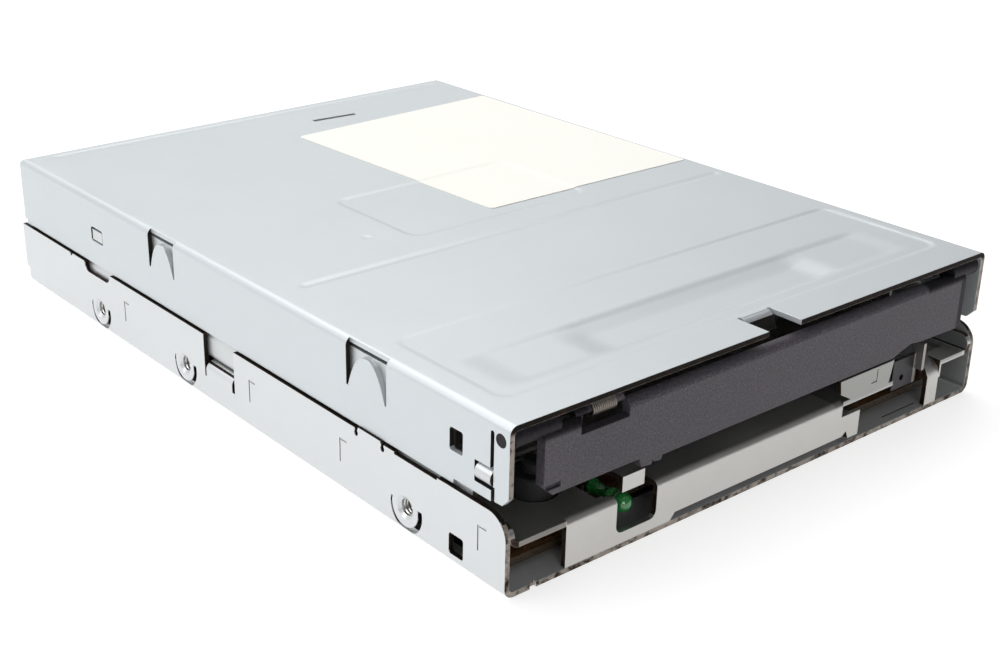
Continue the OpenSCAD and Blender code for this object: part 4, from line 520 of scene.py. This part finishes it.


# painted shade for the sides of windows
WINDOW_SHADE = (0.030, 0.028, 0.028)
FINISHES = {
    "pan_steel": sheet_metal("pan_zinc", (0.68, 0.70, 0.71), (0.605, 0.625, 0.635), cut=(0.38, 0.34, 0.30),
                             metallic=0.8, window_shade=WINDOW_SHADE, dull_floor=True, Wall=0.0499, High=0.0123,
                             Curved=1.0),
    "deck_steel": sheet_metal("deck_zinc", (0.665, 0.655, 0.63), (0.51, 0.50, 0.475), cut=CUT, metallic=0.9,
                              rub=1.0, wall_tint=(0.60, 0.63, 0.645), Wall=0.0485, Front=-0.0716, Inside=0.046,
                              High=0.0121, Left=-0.0403),
    "cover_steel": sheet_metal("cover_zinc", (0.605, 0.642, 0.662), (0.56, 0.597, 0.617), cut=(0.36, 0.32, 0.28),
                               top_cut_shade=(0.012, 0.010, 0.009), window_shade=WINDOW_SHADE, rust_from=0.5, Wall=0.0492,
                               High=0.0165),
    "bright_steel": turned_metal("bright_steel", (0.80, 0.80, 0.79), (0.66, 0.66, 0.65)),
    "screw_steel": turned_metal("screw_zinc", (0.70, 0.69, 0.66), (0.52, 0.51, 0.49), rough=(0.25, 0.42)),
    "stainless": sheet_metal("stainless_sheet", (0.62, 0.61, 0.59), (0.50, 0.49, 0.48), metallic=0.95,
                             rough=(0.26, 0.4), spangle=900.0),
    "spring_steel": turned_metal("spring_wire", (0.27, 0.24, 0.215), (0.17, 0.15, 0.13), rough=(0.32, 0.45)),
    "leaf_bronze": turned_metal("leaf_bronze", (0.70, 0.55, 0.30), (0.52, 0.40, 0.21)),
    "sintered_bronze": turned_metal("sintered_bronze", (0.55, 0.38, 0.20), (0.38, 0.25, 0.12), rough=(0.4, 0.6),
                                    bump=0.3),
    "contact_gold": turned_metal("contact_gold", (0.92, 0.70, 0.30), (0.78, 0.56, 0.20), rough=(0.15, 0.28)),
    "copper_wire": wound_copper(),
    "lamination": turned_metal("laminations", (0.20, 0.21, 0.23), (0.12, 0.13, 0.14), rough=(0.4, 0.6)),
    "magnet": moulding("bonded_ferrite", (0.05, 0.05, 0.055), (0.03, 0.03, 0.032), rough=(0.6, 0.75), grain=1800.0),
    "board": circuit_board("main_board_coat", (0.075, 0.034, 0.012), (0.14, 0.07, 0.026), (0.06, 0.042, 0.024)),
    "motor_board": circuit_board("motor_board_coat", (0.02, 0.10, 0.05), (0.05, 0.20, 0.10), (0.30, 0.28, 0.18)),
    "black_plastic": moulding("black_moulding", (0.030, 0.030, 0.032), (0.016, 0.016, 0.018), rough=(0.55, 0.7),
                              specular=0.35),
    "ivory_plastic": moulding("ivory_moulding", (0.78, 0.74, 0.62), (0.66, 0.62, 0.51), bump=0.1),
    "white_plastic": moulding("white_moulding", (0.84, 0.83, 0.78), (0.74, 0.73, 0.69), bump=0.1),
    "chip_resin": chip_resin(),
    "component_mix": moulding("board_parts", (0.55, 0.43, 0.28), (0.30, 0.22, 0.14)),
    "film": moulding("insulating_film", (0.06, 0.06, 0.06), (0.03, 0.03, 0.03), rough=(0.3, 0.4), bump=0.05),
    "ribbon": moulding("amber_ribbon", (0.55, 0.26, 0.05), (0.40, 0.17, 0.03), rough=(0.2, 0.3), bump=0.05),
    "led_green": green_lens(),
    "ferrite_head": moulding("polished_ferrite", (0.10, 0.095, 0.09), (0.05, 0.048, 0.045), rough=(0.1, 0.2),
                             bump=0.03),
    "door_plastic": door_moulding(),
}
slot_of = {s["node"]: s["material_slot"] for s in frame["record"]["subparts"]}
OWN_FINISH = {"eject_slider": nose_steel()}
for node_name, node in frame["nodes"].items():
    node.data.materials.clear()
    node.data.materials.append(OWN_FINISH.get(node_name, FINISHES[slot_of[node_name]]))


# ---------------------------------------------------------------- new pieces
def place_piece(name, mesh, body, slot_name, material=None):
    """Object at the origin in its slot's finish or one of its own, on a body or on none."""
    mesh.materials.clear()
    mesh.materials.append(material or FINISHES[slot_name])
    mesh.shade_smooth()
    piece = bpy.data.objects.new(name, mesh)
    scene.collection.objects.link(piece)
    if body is not None:
        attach(piece, body)
    return piece


def new_piece(name, fill, body, slot_name, material=None, crease=30):
    """Piece from a function that fills a bmesh, with edges sharp from the crease angle."""
    mesh = bpy.data.meshes.new(name)
    bm = bmesh.new()
    fill(bm)
    bmesh.ops.triangulate(bm, faces=[f for f in bm.faces if len(f.verts) > 4])
    bm.normal_update()
    for edge in bm.edges:
        edge.smooth = edge.calc_face_angle(math.pi) < math.radians(crease)
    bm.to_mesh(mesh)
    bm.free()
    return place_piece(name, mesh, body, slot_name, material)


def merged_copy(bm, node_name):
    """Take a node's mesh over, its loose triangles merged."""
    bm.from_mesh(frame["nodes"][node_name].data)
    bmesh.ops.remove_doubles(bm, verts=bm.verts, dist=1e-6)


CASE_H = 24.8
SHEET = 0.8


def smooth(t):
    """0 to 1 with soft ends."""
    t = min(max(t, 0.0), 1.0)
    return t * t * (3 - 2 * t)


def pressed_panel(x, y, low, high, corner, run):
    """1 inside a rounded rectangle and 0 outside, with an even slope just inside its edge."""
    half = ((high[0] - low[0]) / 2, (high[1] - low[1]) / 2)
    across = abs(x - (low[0] + high[0]) / 2) - half[0] + corner
    along = abs(y - (low[1] + high[1]) / 2) - half[1] + corner
    beyond = math.hypot(max(across, 0), max(along, 0)) + min(max(across, along), 0) - corner
    return smooth(-beyond / run)


def pressed_channel(x, y, low, high, ends, front, rear):
    """1 on the floor of a channel and 0 outside, with its own slopes at ends, front and rear."""
    return (smooth((x - low[0]) / ends) * smooth((high[0] - x) / ends)
            * smooth((y - low[1]) / front) * smooth((high[1] - y) / rear))


def cover_depth(x, y):
    """How far the cover's top is pressed down, in mm."""
    front_panel = (0.13 + 0.0012 * x) * pressed_panel(x, y, (-46.3, -64.6), (47.6, -40.4), 2.6, 1.0)
    channel = 0.26 * pressed_channel(x, y, (-43.4, -62.4), (43.2, -50.6), 5.4, 2.2, 1.8)
    deep_middle = 0.62 * pressed_channel(x, y, (-27.4, -62.2), (27.2, -50.8), 6.2, 2.4, 5.2)
    groove = 0.15 * pressed_panel(x, y, (-45.0, -17.5), (48.2, -15.0), 1.24, 1.2)
    heads_panel = 0.15 * pressed_panel(x, y, (-18.3, -10.1), (21.3, 14.2), 3.0, 1.2)
    rear_crease = 0.13 * pressed_panel(x, y, (-45.5, 66.0), (47.0, 68.4), 1.2, 1.1)
    dimple = 0.10 * smooth(1.2 - math.hypot(x + 24.1, y + 4.8))
    hollow = 0.05 * pressed_channel(x, y, (-46.0, -39.0), (46.5, -19.5), 14.0, 7.0, 7.0)
    return front_panel + channel + deep_middle + groove + heads_panel + rear_crease + dimple + hollow


def steps(low, high, size):
    """Even steps of about one size, both ends included."""
    count = max(1, round((high - low) / size))
    return [low + (high - low) * i / count for i in range(count + 1)]


ACROSS_CUTS = sorted({round(c, 2) for c in (
    steps(-48, 48, 4) + steps(-46.5, -37.8, 0.6) + steps(-27.6, -20.6, 0.7) + steps(20.6, 27.6, 0.7)
    + steps(37.6, 48.4, 0.6) + steps(-18.4, -15.0, 0.4) + steps(18.2, 21.4, 0.4) + steps(-25.4, -22.8, 0.35)
)})
ALONG_CUTS = sorted({round(c, 2) for c in (
    steps(-65, 69, 4) + steps(-64.8, -59.6, 0.4) + steps(-54.8, -50.4, 0.4) + steps(-43.2, -40.2, 0.3)
    + steps(-17.7, -14.8, 0.25) + steps(-10.3, -7.0, 0.3) + steps(10.8, 14.4, 0.3) + steps(65.8, 68.6, 0.25)
    + steps(-6.1, -3.5, 0.35)
)})


ON_CUT = 1e-3


def cut_grid(bm, chosen):
    """Cut the chosen faces along the lines where the pressings bend."""
    for axis, places in ((0, ACROSS_CUTS), (1, ALONG_CUTS)):
        normal = Vector((1 - axis, axis, 0))
        waiting = [f for f in bm.faces if chosen(f)]
        for place in places:
            crossing, beyond = [], []
            for f in waiting:
                reach = [v.co[axis] / MM - place for v in f.verts]
                if min(reach) > -ON_CUT:
                    beyond.append(f)
                elif max(reach) > ON_CUT:
                    crossing.append(f)
            parts = set(crossing)
            for f in crossing:
                parts.update(f.verts)
                parts.update(f.edges)
            if parts:
                cut = bmesh.ops.bisect_plane(bm, geom=list(parts), dist=1e-7, plane_co=normal * place * MM,
                                             plane_no=normal)
                beyond += [f for f in cut["geom"] if isinstance(f, bmesh.types.BMFace)
                           and max(v.co[axis] for v in f.verts) > (place + ON_CUT) * MM]
            waiting = beyond


PRESSED_FROM = 22.0             # the cover's top lies above this height
PRESSED_X, PRESSED_Y = 48.6, 69.3
TAB_X, TAB_Y = (-2.6, 5.2), -64.9


def build_cover(bm):
    """The folded cover with its top pressed into soft forms."""
    merged_copy(bm, "top_cover")
    bm.normal_update()
    cut_grid(bm, lambda f: abs(f.normal.z) > 0.4 and f.calc_center_median().z > PRESSED_FROM * MM)
    bm.normal_update()
    for v in bm.verts:
        x, y, z = (c / MM for c in v.co)
        in_tab = TAB_X[0] < x < TAB_X[1] and y < TAB_Y
        if abs(x) > PRESSED_X or abs(y) > PRESSED_Y or z < PRESSED_FROM or in_tab:
            continue
        if any(f.normal.z > 0.3 for f in v.link_faces):
            v.co.z = (CASE_H - cover_depth(x, y)) * MM
        elif any(f.normal.z < -0.3 for f in v.link_faces):
            v.co.z = (CASE_H - SHEET - cover_depth(x, y)) * MM


cover = new_piece("pressed_cover", build_cover, "frame", "cover_steel")
even = cover.modifiers.new("even_normals", "WEIGHTED_NORMAL")
even.mode = "FACE_AREA"
even.keep_sharp = True
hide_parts("top_cover")


def cut_box(piece, low, high):
    """Take a box, in mm, out of a piece."""
    mesh = bpy.data.meshes.new("cutter")
    bm = bmesh.new()
    bmesh.ops.create_cube(bm, size=MM)
    bmesh.ops.scale(bm, vec=Vector(high) - Vector(low), verts=bm.verts)
    bmesh.ops.translate(bm, vec=(Vector(high) + Vector(low)) / 2 * MM, verts=bm.verts)
    bm.to_mesh(mesh)
    bm.free()
    cutter = bpy.data.objects.new("cutter", mesh)
    scene.collection.objects.link(cutter)
    cut = piece.modifiers.new("cut", "BOOLEAN")
    cut.operation = "DIFFERENCE"
    cut.solver = "EXACT"
    cut.object = cutter
    bpy.context.view_layer.update()
    result = bpy.data.meshes.new_from_object(piece.evaluated_get(bpy.context.evaluated_depsgraph_get()))
    piece.modifiers.clear()
    result.name = piece.name
    piece.data = result
    bpy.data.objects.remove(cutter)


DECK_GAP = ((-32.0, -69.32, 7.1), (-23.2, -68.86, 8.1))     # opens the deck from the lip to the gap by the lamp
deck = new_piece("folded_deck", lambda bm: merged_copy(bm, "deck_frame"), "frame", "deck_steel")
cut_box(deck, *DECK_GAP)
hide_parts("deck_frame")

LABEL_CORNERS = ((-0.5, 50.3), (48.7, 52.3), (48.9, -7.1), (1.5, -6.1))
LABEL_GAP, LABEL_THICK, LABEL_ROUND = 0.01, 0.09, 0.8


def build_label(bm):
    """Thin paper over the cover, following the pressings under it."""
    verts = [bm.verts.new((x * MM, y * MM, 0)) for x, y in LABEL_CORNERS]
    bm.faces.new(reversed(verts))
    bmesh.ops.bevel(bm, geom=list(bm.verts), offset=LABEL_ROUND * MM, segments=4, profile=0.5, affect="VERTICES",
                    material=-1)
    cut_grid(bm, lambda f: True)
    for v in bm.verts:
        v.co.z = (CASE_H + LABEL_GAP - cover_depth(v.co.x / MM, v.co.y / MM)) * MM
    extruded = bmesh.ops.extrude_face_region(bm, geom=list(bm.faces))
    moved = [g for g in extruded["geom"] if isinstance(g, bmesh.types.BMVert)]
    bmesh.ops.translate(bm, vec=(0, 0, LABEL_THICK * MM), verts=moved)
    bmesh.ops.recalc_face_normals(bm, faces=list(bm.faces))


label = new_piece("paper_label", build_label, "frame", "cover_steel", material=label_paper())


def round_wire(name, paths, radius, body):
    """Smooth round spring wire along one or more lists of points in mm. body is None where the piece rides on no
    body.
    """
    curve = bpy.data.curves.new(name, "CURVE")
    curve.dimensions = "3D"
    curve.bevel_depth = radius * MM
    curve.bevel_resolution = 2
    curve.use_fill_caps = True
    for points in paths:
        line = curve.splines.new("POLY")
        line.points.add(len(points) - 1)
        for point, place in zip(line.points, points):
            point.co = (*(Vector(place) * MM), 1)
    holder = bpy.data.objects.new(name, curve)
    mesh = bpy.data.meshes.new_from_object(holder)
    bpy.data.objects.remove(holder)
    mesh.name = name
    piece = place_piece(name, mesh, body, "spring_steel")
    mesh.set_sharp_from_angle(angle=math.radians(50))
    return piece


PER_CURL = 20


def coil_points(curls, radius, pitch, leg, end_leg, turn, place):
    """Spring about its own Z with straight legs, turned and placed as in the frame."""
    local = [Vector((radius, -leg, 0))]
    for i in range(PER_CURL * curls + 1):
        angle = 2 * math.pi * i / PER_CURL
        local.append(Vector((radius * math.cos(angle), radius * math.sin(angle), pitch * i / PER_CURL)))
    local.append(Vector((radius, end_leg, pitch * curls)))
    return [turn @ point + Vector(place) for point in local]


def turned(*axes):
    """Rotation from angle and axis pairs, the outermost first."""
    total = Matrix.Identity(3)
    for angle, axis in axes:
        total = total @ Matrix.Rotation(math.radians(angle), 3, axis)
    return total


door_coil = coil_points(12, 1.0, 0.36, 3.4, 1.3, turned((90, "X"), (90, "Y")), (-35.6, -69.14, 22.34))
door_spring = round_wire("door_return_spring", [door_coil], 0.16, "frame")
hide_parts("door_spring")

slider_coil = coil_points(15, 0.95, 1.80667, 1.2, 1.2, turned((-90, "X")), (43, -39.5, 9.4))
other_coil = [Vector((-x, y, z)) for x, y, z in slider_coil]
slider_springs = round_wire("slider_pull_springs", [slider_coil, other_coil], 0.2, None)
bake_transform(slider_springs)
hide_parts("slider_springs")

arm_coil = coil_points(5, 1.45, 0.75, 2.2, 2.2, turned((90, "Y"), (180, "Z")), (-2, 46, 17.3))
arm_spring = round_wire("arm_pressure_spring", [arm_coil], 0.15, "carriage")
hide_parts("arm_spring")

latch_coil = coil_points(3, 2.1, 0.72, 4.4, 4.4, turned((40, "Z")), (-34, 0, 20.16))
latch_spring = round_wire("latch_return_spring", [latch_coil], 0.15, "latch")
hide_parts("latch_spring")

LEAF_BEND = (3.9, 8.2)          # the leaf's tongue bends between these X


def build_leaf(bm):
    """The leaf under the drive pin, cut across where its tongue bends."""
    merged_copy(bm, "drive_pin_spring")
    for place in steps(*LEAF_BEND, 0.43):
        bmesh.ops.bisect_plane(bm, geom=[*bm.verts, *bm.edges, *bm.faces], dist=1e-7, plane_co=(place * MM, 0, 0),
                               plane_no=(1, 0, 0))


leaf = new_piece("drive_pin_leaf", build_leaf, None, "leaf_bronze")
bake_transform(leaf)
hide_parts("drive_pin_spring")


def lathe(bm, profile, centre, axis, segments):
    """Solid of revolution from (radius, distance along the axis) points in mm."""
    axis = Vector(axis)
    side = axis.orthogonal().normalized()
    verts = [bm.verts.new((Vector(centre) + axis * along + side * radius) * MM) for radius, along in profile]
    edges = [bm.edges.new(pair) for pair in zip(verts, verts[1:])]
    bmesh.ops.spin(bm, geom=verts + edges, cent=Vector(centre) * MM, axis=axis, angle=2 * math.pi, steps=segments,
                   use_merge=True, use_duplicate=False)
    bmesh.ops.remove_doubles(bm, verts=bm.verts, dist=1e-7)
    bmesh.ops.recalc_face_normals(bm, faces=list(bm.faces))


def arc(radius, end, count):
    """Profile points of a round nose from its tip to the end angle, in degrees."""
    angles = [math.radians(end * i / count) for i in range(count + 1)]
    return [(radius * math.sin(angle), radius - radius * math.cos(angle)) for angle in angles]


LAMP_TIP = (-27.2, -69.6, 5.1)
LAMP_STEPS = 32


def build_indicator(bm):
    """Domed lamp with a waist, a flange and a slim body behind it."""
    dome = arc(1.5, 118, 14)
    waist = [(1.0, 2.45), (0.98, 2.9), (1.28, 3.15), (1.34, 3.4), (1.28, 3.65), (0.98, 3.9)]
    rest = [(0.94, 6.6), (1.15, 6.9), (1.15, 7.35), (0.0, 7.35)]
    lathe(bm, dome + waist + rest, LAMP_TIP, (0, 1, 0), LAMP_STEPS)


indicator = new_piece("indicator_lamp", build_indicator, "frame", "led_green", crease=60)
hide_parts("activity_led")


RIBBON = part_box("head_flex_cable")
RIBBON_HALF, RIBBON_BEND, RIBBON_STEPS = 0.075, 2.6, 14


def build_ribbon(bm):
    """Flat cable from the carriage over a loop and down to the board."""
    (x0, y0, z0), (x1, y1, z1) = ([c / MM for c in corner] for corner in RIBBON)
    loop_y, loop_z, loop_r = y1 - RIBBON_BEND, z1 - RIBBON_BEND, RIBBON_BEND - RIBBON_HALF
    low_z = z1 - 2 * RIBBON_BEND
    path = [(y0 + (loop_y - y0) * i / RIBBON_STEPS, z1 - RIBBON_HALF) for i in range(RIBBON_STEPS + 1)]
    turns = [math.pi * i / RIBBON_STEPS for i in range(1, RIBBON_STEPS + 1)]
    path += [(loop_y + loop_r * math.sin(turn), loop_z + loop_r * math.cos(turn)) for turn in turns]
    path += [(loop_y - 1.5, low_z + RIBBON_HALF), (loop_y - 2.8, low_z + RIBBON_HALF - 0.05),
             (loop_y - 3 + RIBBON_HALF, low_z - 0.3), (loop_y - 3 + RIBBON_HALF, z0)]
    row = [bm.verts.new((x * MM, path[0][0] * MM, path[0][1] * MM)) for x in (x0, x1)]
    edge = bm.edges.new(row)
    for (y, z), (next_y, next_z) in zip(path, path[1:]):
        grown = bmesh.ops.extrude_edge_only(bm, edges=[edge])["geom"]
        edge = next(g for g in grown if isinstance(g, bmesh.types.BMEdge))
        bmesh.ops.translate(bm, vec=(0, (next_y - y) * MM, (next_z - z) * MM), verts=list(edge.verts))
    bmesh.ops.recalc_face_normals(bm, faces=list(bm.faces))
    bmesh.ops.solidify(bm, geom=list(bm.faces), thickness=RIBBON_HALF * MM)
    bmesh.ops.recalc_face_normals(bm, faces=list(bm.faces))


ribbon = new_piece("head_ribbon", build_ribbon, None, "ribbon", crease=50)
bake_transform(ribbon)
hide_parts("head_flex_cable")


RIDGE_PITCH, RIDGE_TURNS, RIDGE_STEPS = 0.5, 4, 20
RIDGE_FOOT, RIDGE_TIP, RIDGE_HALF = 1.27, 1.05, 0.19
RIDGE_START = 50.25


def build_threads(bm):
    """Thread ridges inside the six side holes of the pan."""
    for side in (-1, 1):
        for y in SIDE_HOLES:
            ridge = bmesh.new()
            start = side * RIDGE_START
            corners = ((-RIDGE_HALF, RIDGE_FOOT), (0.0, RIDGE_TIP), (RIDGE_HALF, RIDGE_FOOT))
            verts = [ridge.verts.new(Vector((start + shift, y, HOLE_Z + radius)) * MM) for shift, radius in corners]
            edges = [ridge.edges.new((verts[i], verts[(i + 1) % 3])) for i in range(3)]
            bmesh.ops.spin(ridge, geom=verts + edges, cent=Vector((start, y, HOLE_Z)) * MM, axis=(1, 0, 0),
                           dvec=Vector((-side * RIDGE_PITCH / RIDGE_STEPS, 0, 0)) * MM,
                           angle=2 * math.pi * RIDGE_TURNS, steps=RIDGE_STEPS * RIDGE_TURNS, use_merge=False,
                           use_duplicate=False)
            bmesh.ops.holes_fill(ridge, edges=list(ridge.edges), sides=4)
            bmesh.ops.recalc_face_normals(ridge, faces=list(ridge.faces))
            part = bpy.data.meshes.new("thread_part")
            ridge.to_mesh(part)
            ridge.free()
            bm.from_mesh(part)
            bpy.data.meshes.remove(part)


new_piece("side_threads", build_threads, "frame", "pan_steel", material=FINISHES["screw_steel"], crease=40)

# ---------------------------------------------------------------- floor and light
floor_mesh = bpy.data.meshes.new("floor")
floor_bm = bmesh.new()
bmesh.ops.create_grid(floor_bm, x_segments=1, y_segments=1, size=3.0)
floor_bm.to_mesh(floor_mesh)
floor_bm.free()
floor = bpy.data.objects.new("floor", floor_mesh)
scene.collection.objects.link(floor)
floor_material, _, floor_shader = new_material("studio_floor")
floor_shader.inputs["Base Color"].default_value = (0.36, 0.36, 0.36, 1)
floor_shader.inputs["Roughness"].default_value = 0.6
floor_shader.inputs["Emission Color"].default_value = (1, 1, 1, 1)
floor_shader.inputs["Emission Strength"].default_value = 0.76
floor_mesh.materials.append(floor_material)

SKY_FRONT, SKY_BACK, SKY_TOP, SKY_LOW = 0.16, 1.06, 0.92, 0.74

world = bpy.data.worlds.new("studio")
scene.world = world
world.use_nodes = True
sky = world.node_tree
way = split(sky, add(sky, "ShaderNodeTexCoord").outputs["Generated"])
behind = ramp(sky, way["Y"], -0.1, 0.75, SKY_FRONT, SKY_BACK)
overhead = ramp(sky, way["Z"], 0.3, 0.85, 1.0, SKY_TOP)
low_sky = ramp(sky, way["Z"], 0.33, 0.43, SKY_LOW, 1.0)
background = sky.nodes["Background"]
background.inputs["Color"].default_value = (1.0, 0.998, 0.995, 1)
sky.links.new(times(sky, times(sky, behind, overhead), low_sky), background.inputs["Strength"])


def soft_box(name, place, size, power):
    """Soft rectangular lamp that faces the drive."""
    data = bpy.data.lights.new(name, "AREA")
    data.shape = "RECTANGLE"
    data.size, data.size_y = size
    data.energy = power
    lamp = bpy.data.objects.new(name, data)
    lamp.location = Vector(place)
    lamp.rotation_mode = "QUATERNION"
    lamp.rotation_quaternion = (Vector((0, 0, 0.01)) - Vector(place)).to_track_quat("-Z", "Y")
    scene.collection.objects.link(lamp)


soft_box("key", (-0.9, 0.3, 0.75), (0.8, 0.8), 6.0)
soft_box("overhead", (0.1, 0.5, 1.1), (1.2, 1.2), 8.0)
soft_box("front_fill", (-0.5, -1.1, 0.3), (0.6, 0.4), 2.5)
scene.view_settings.view_transform = "Standard"
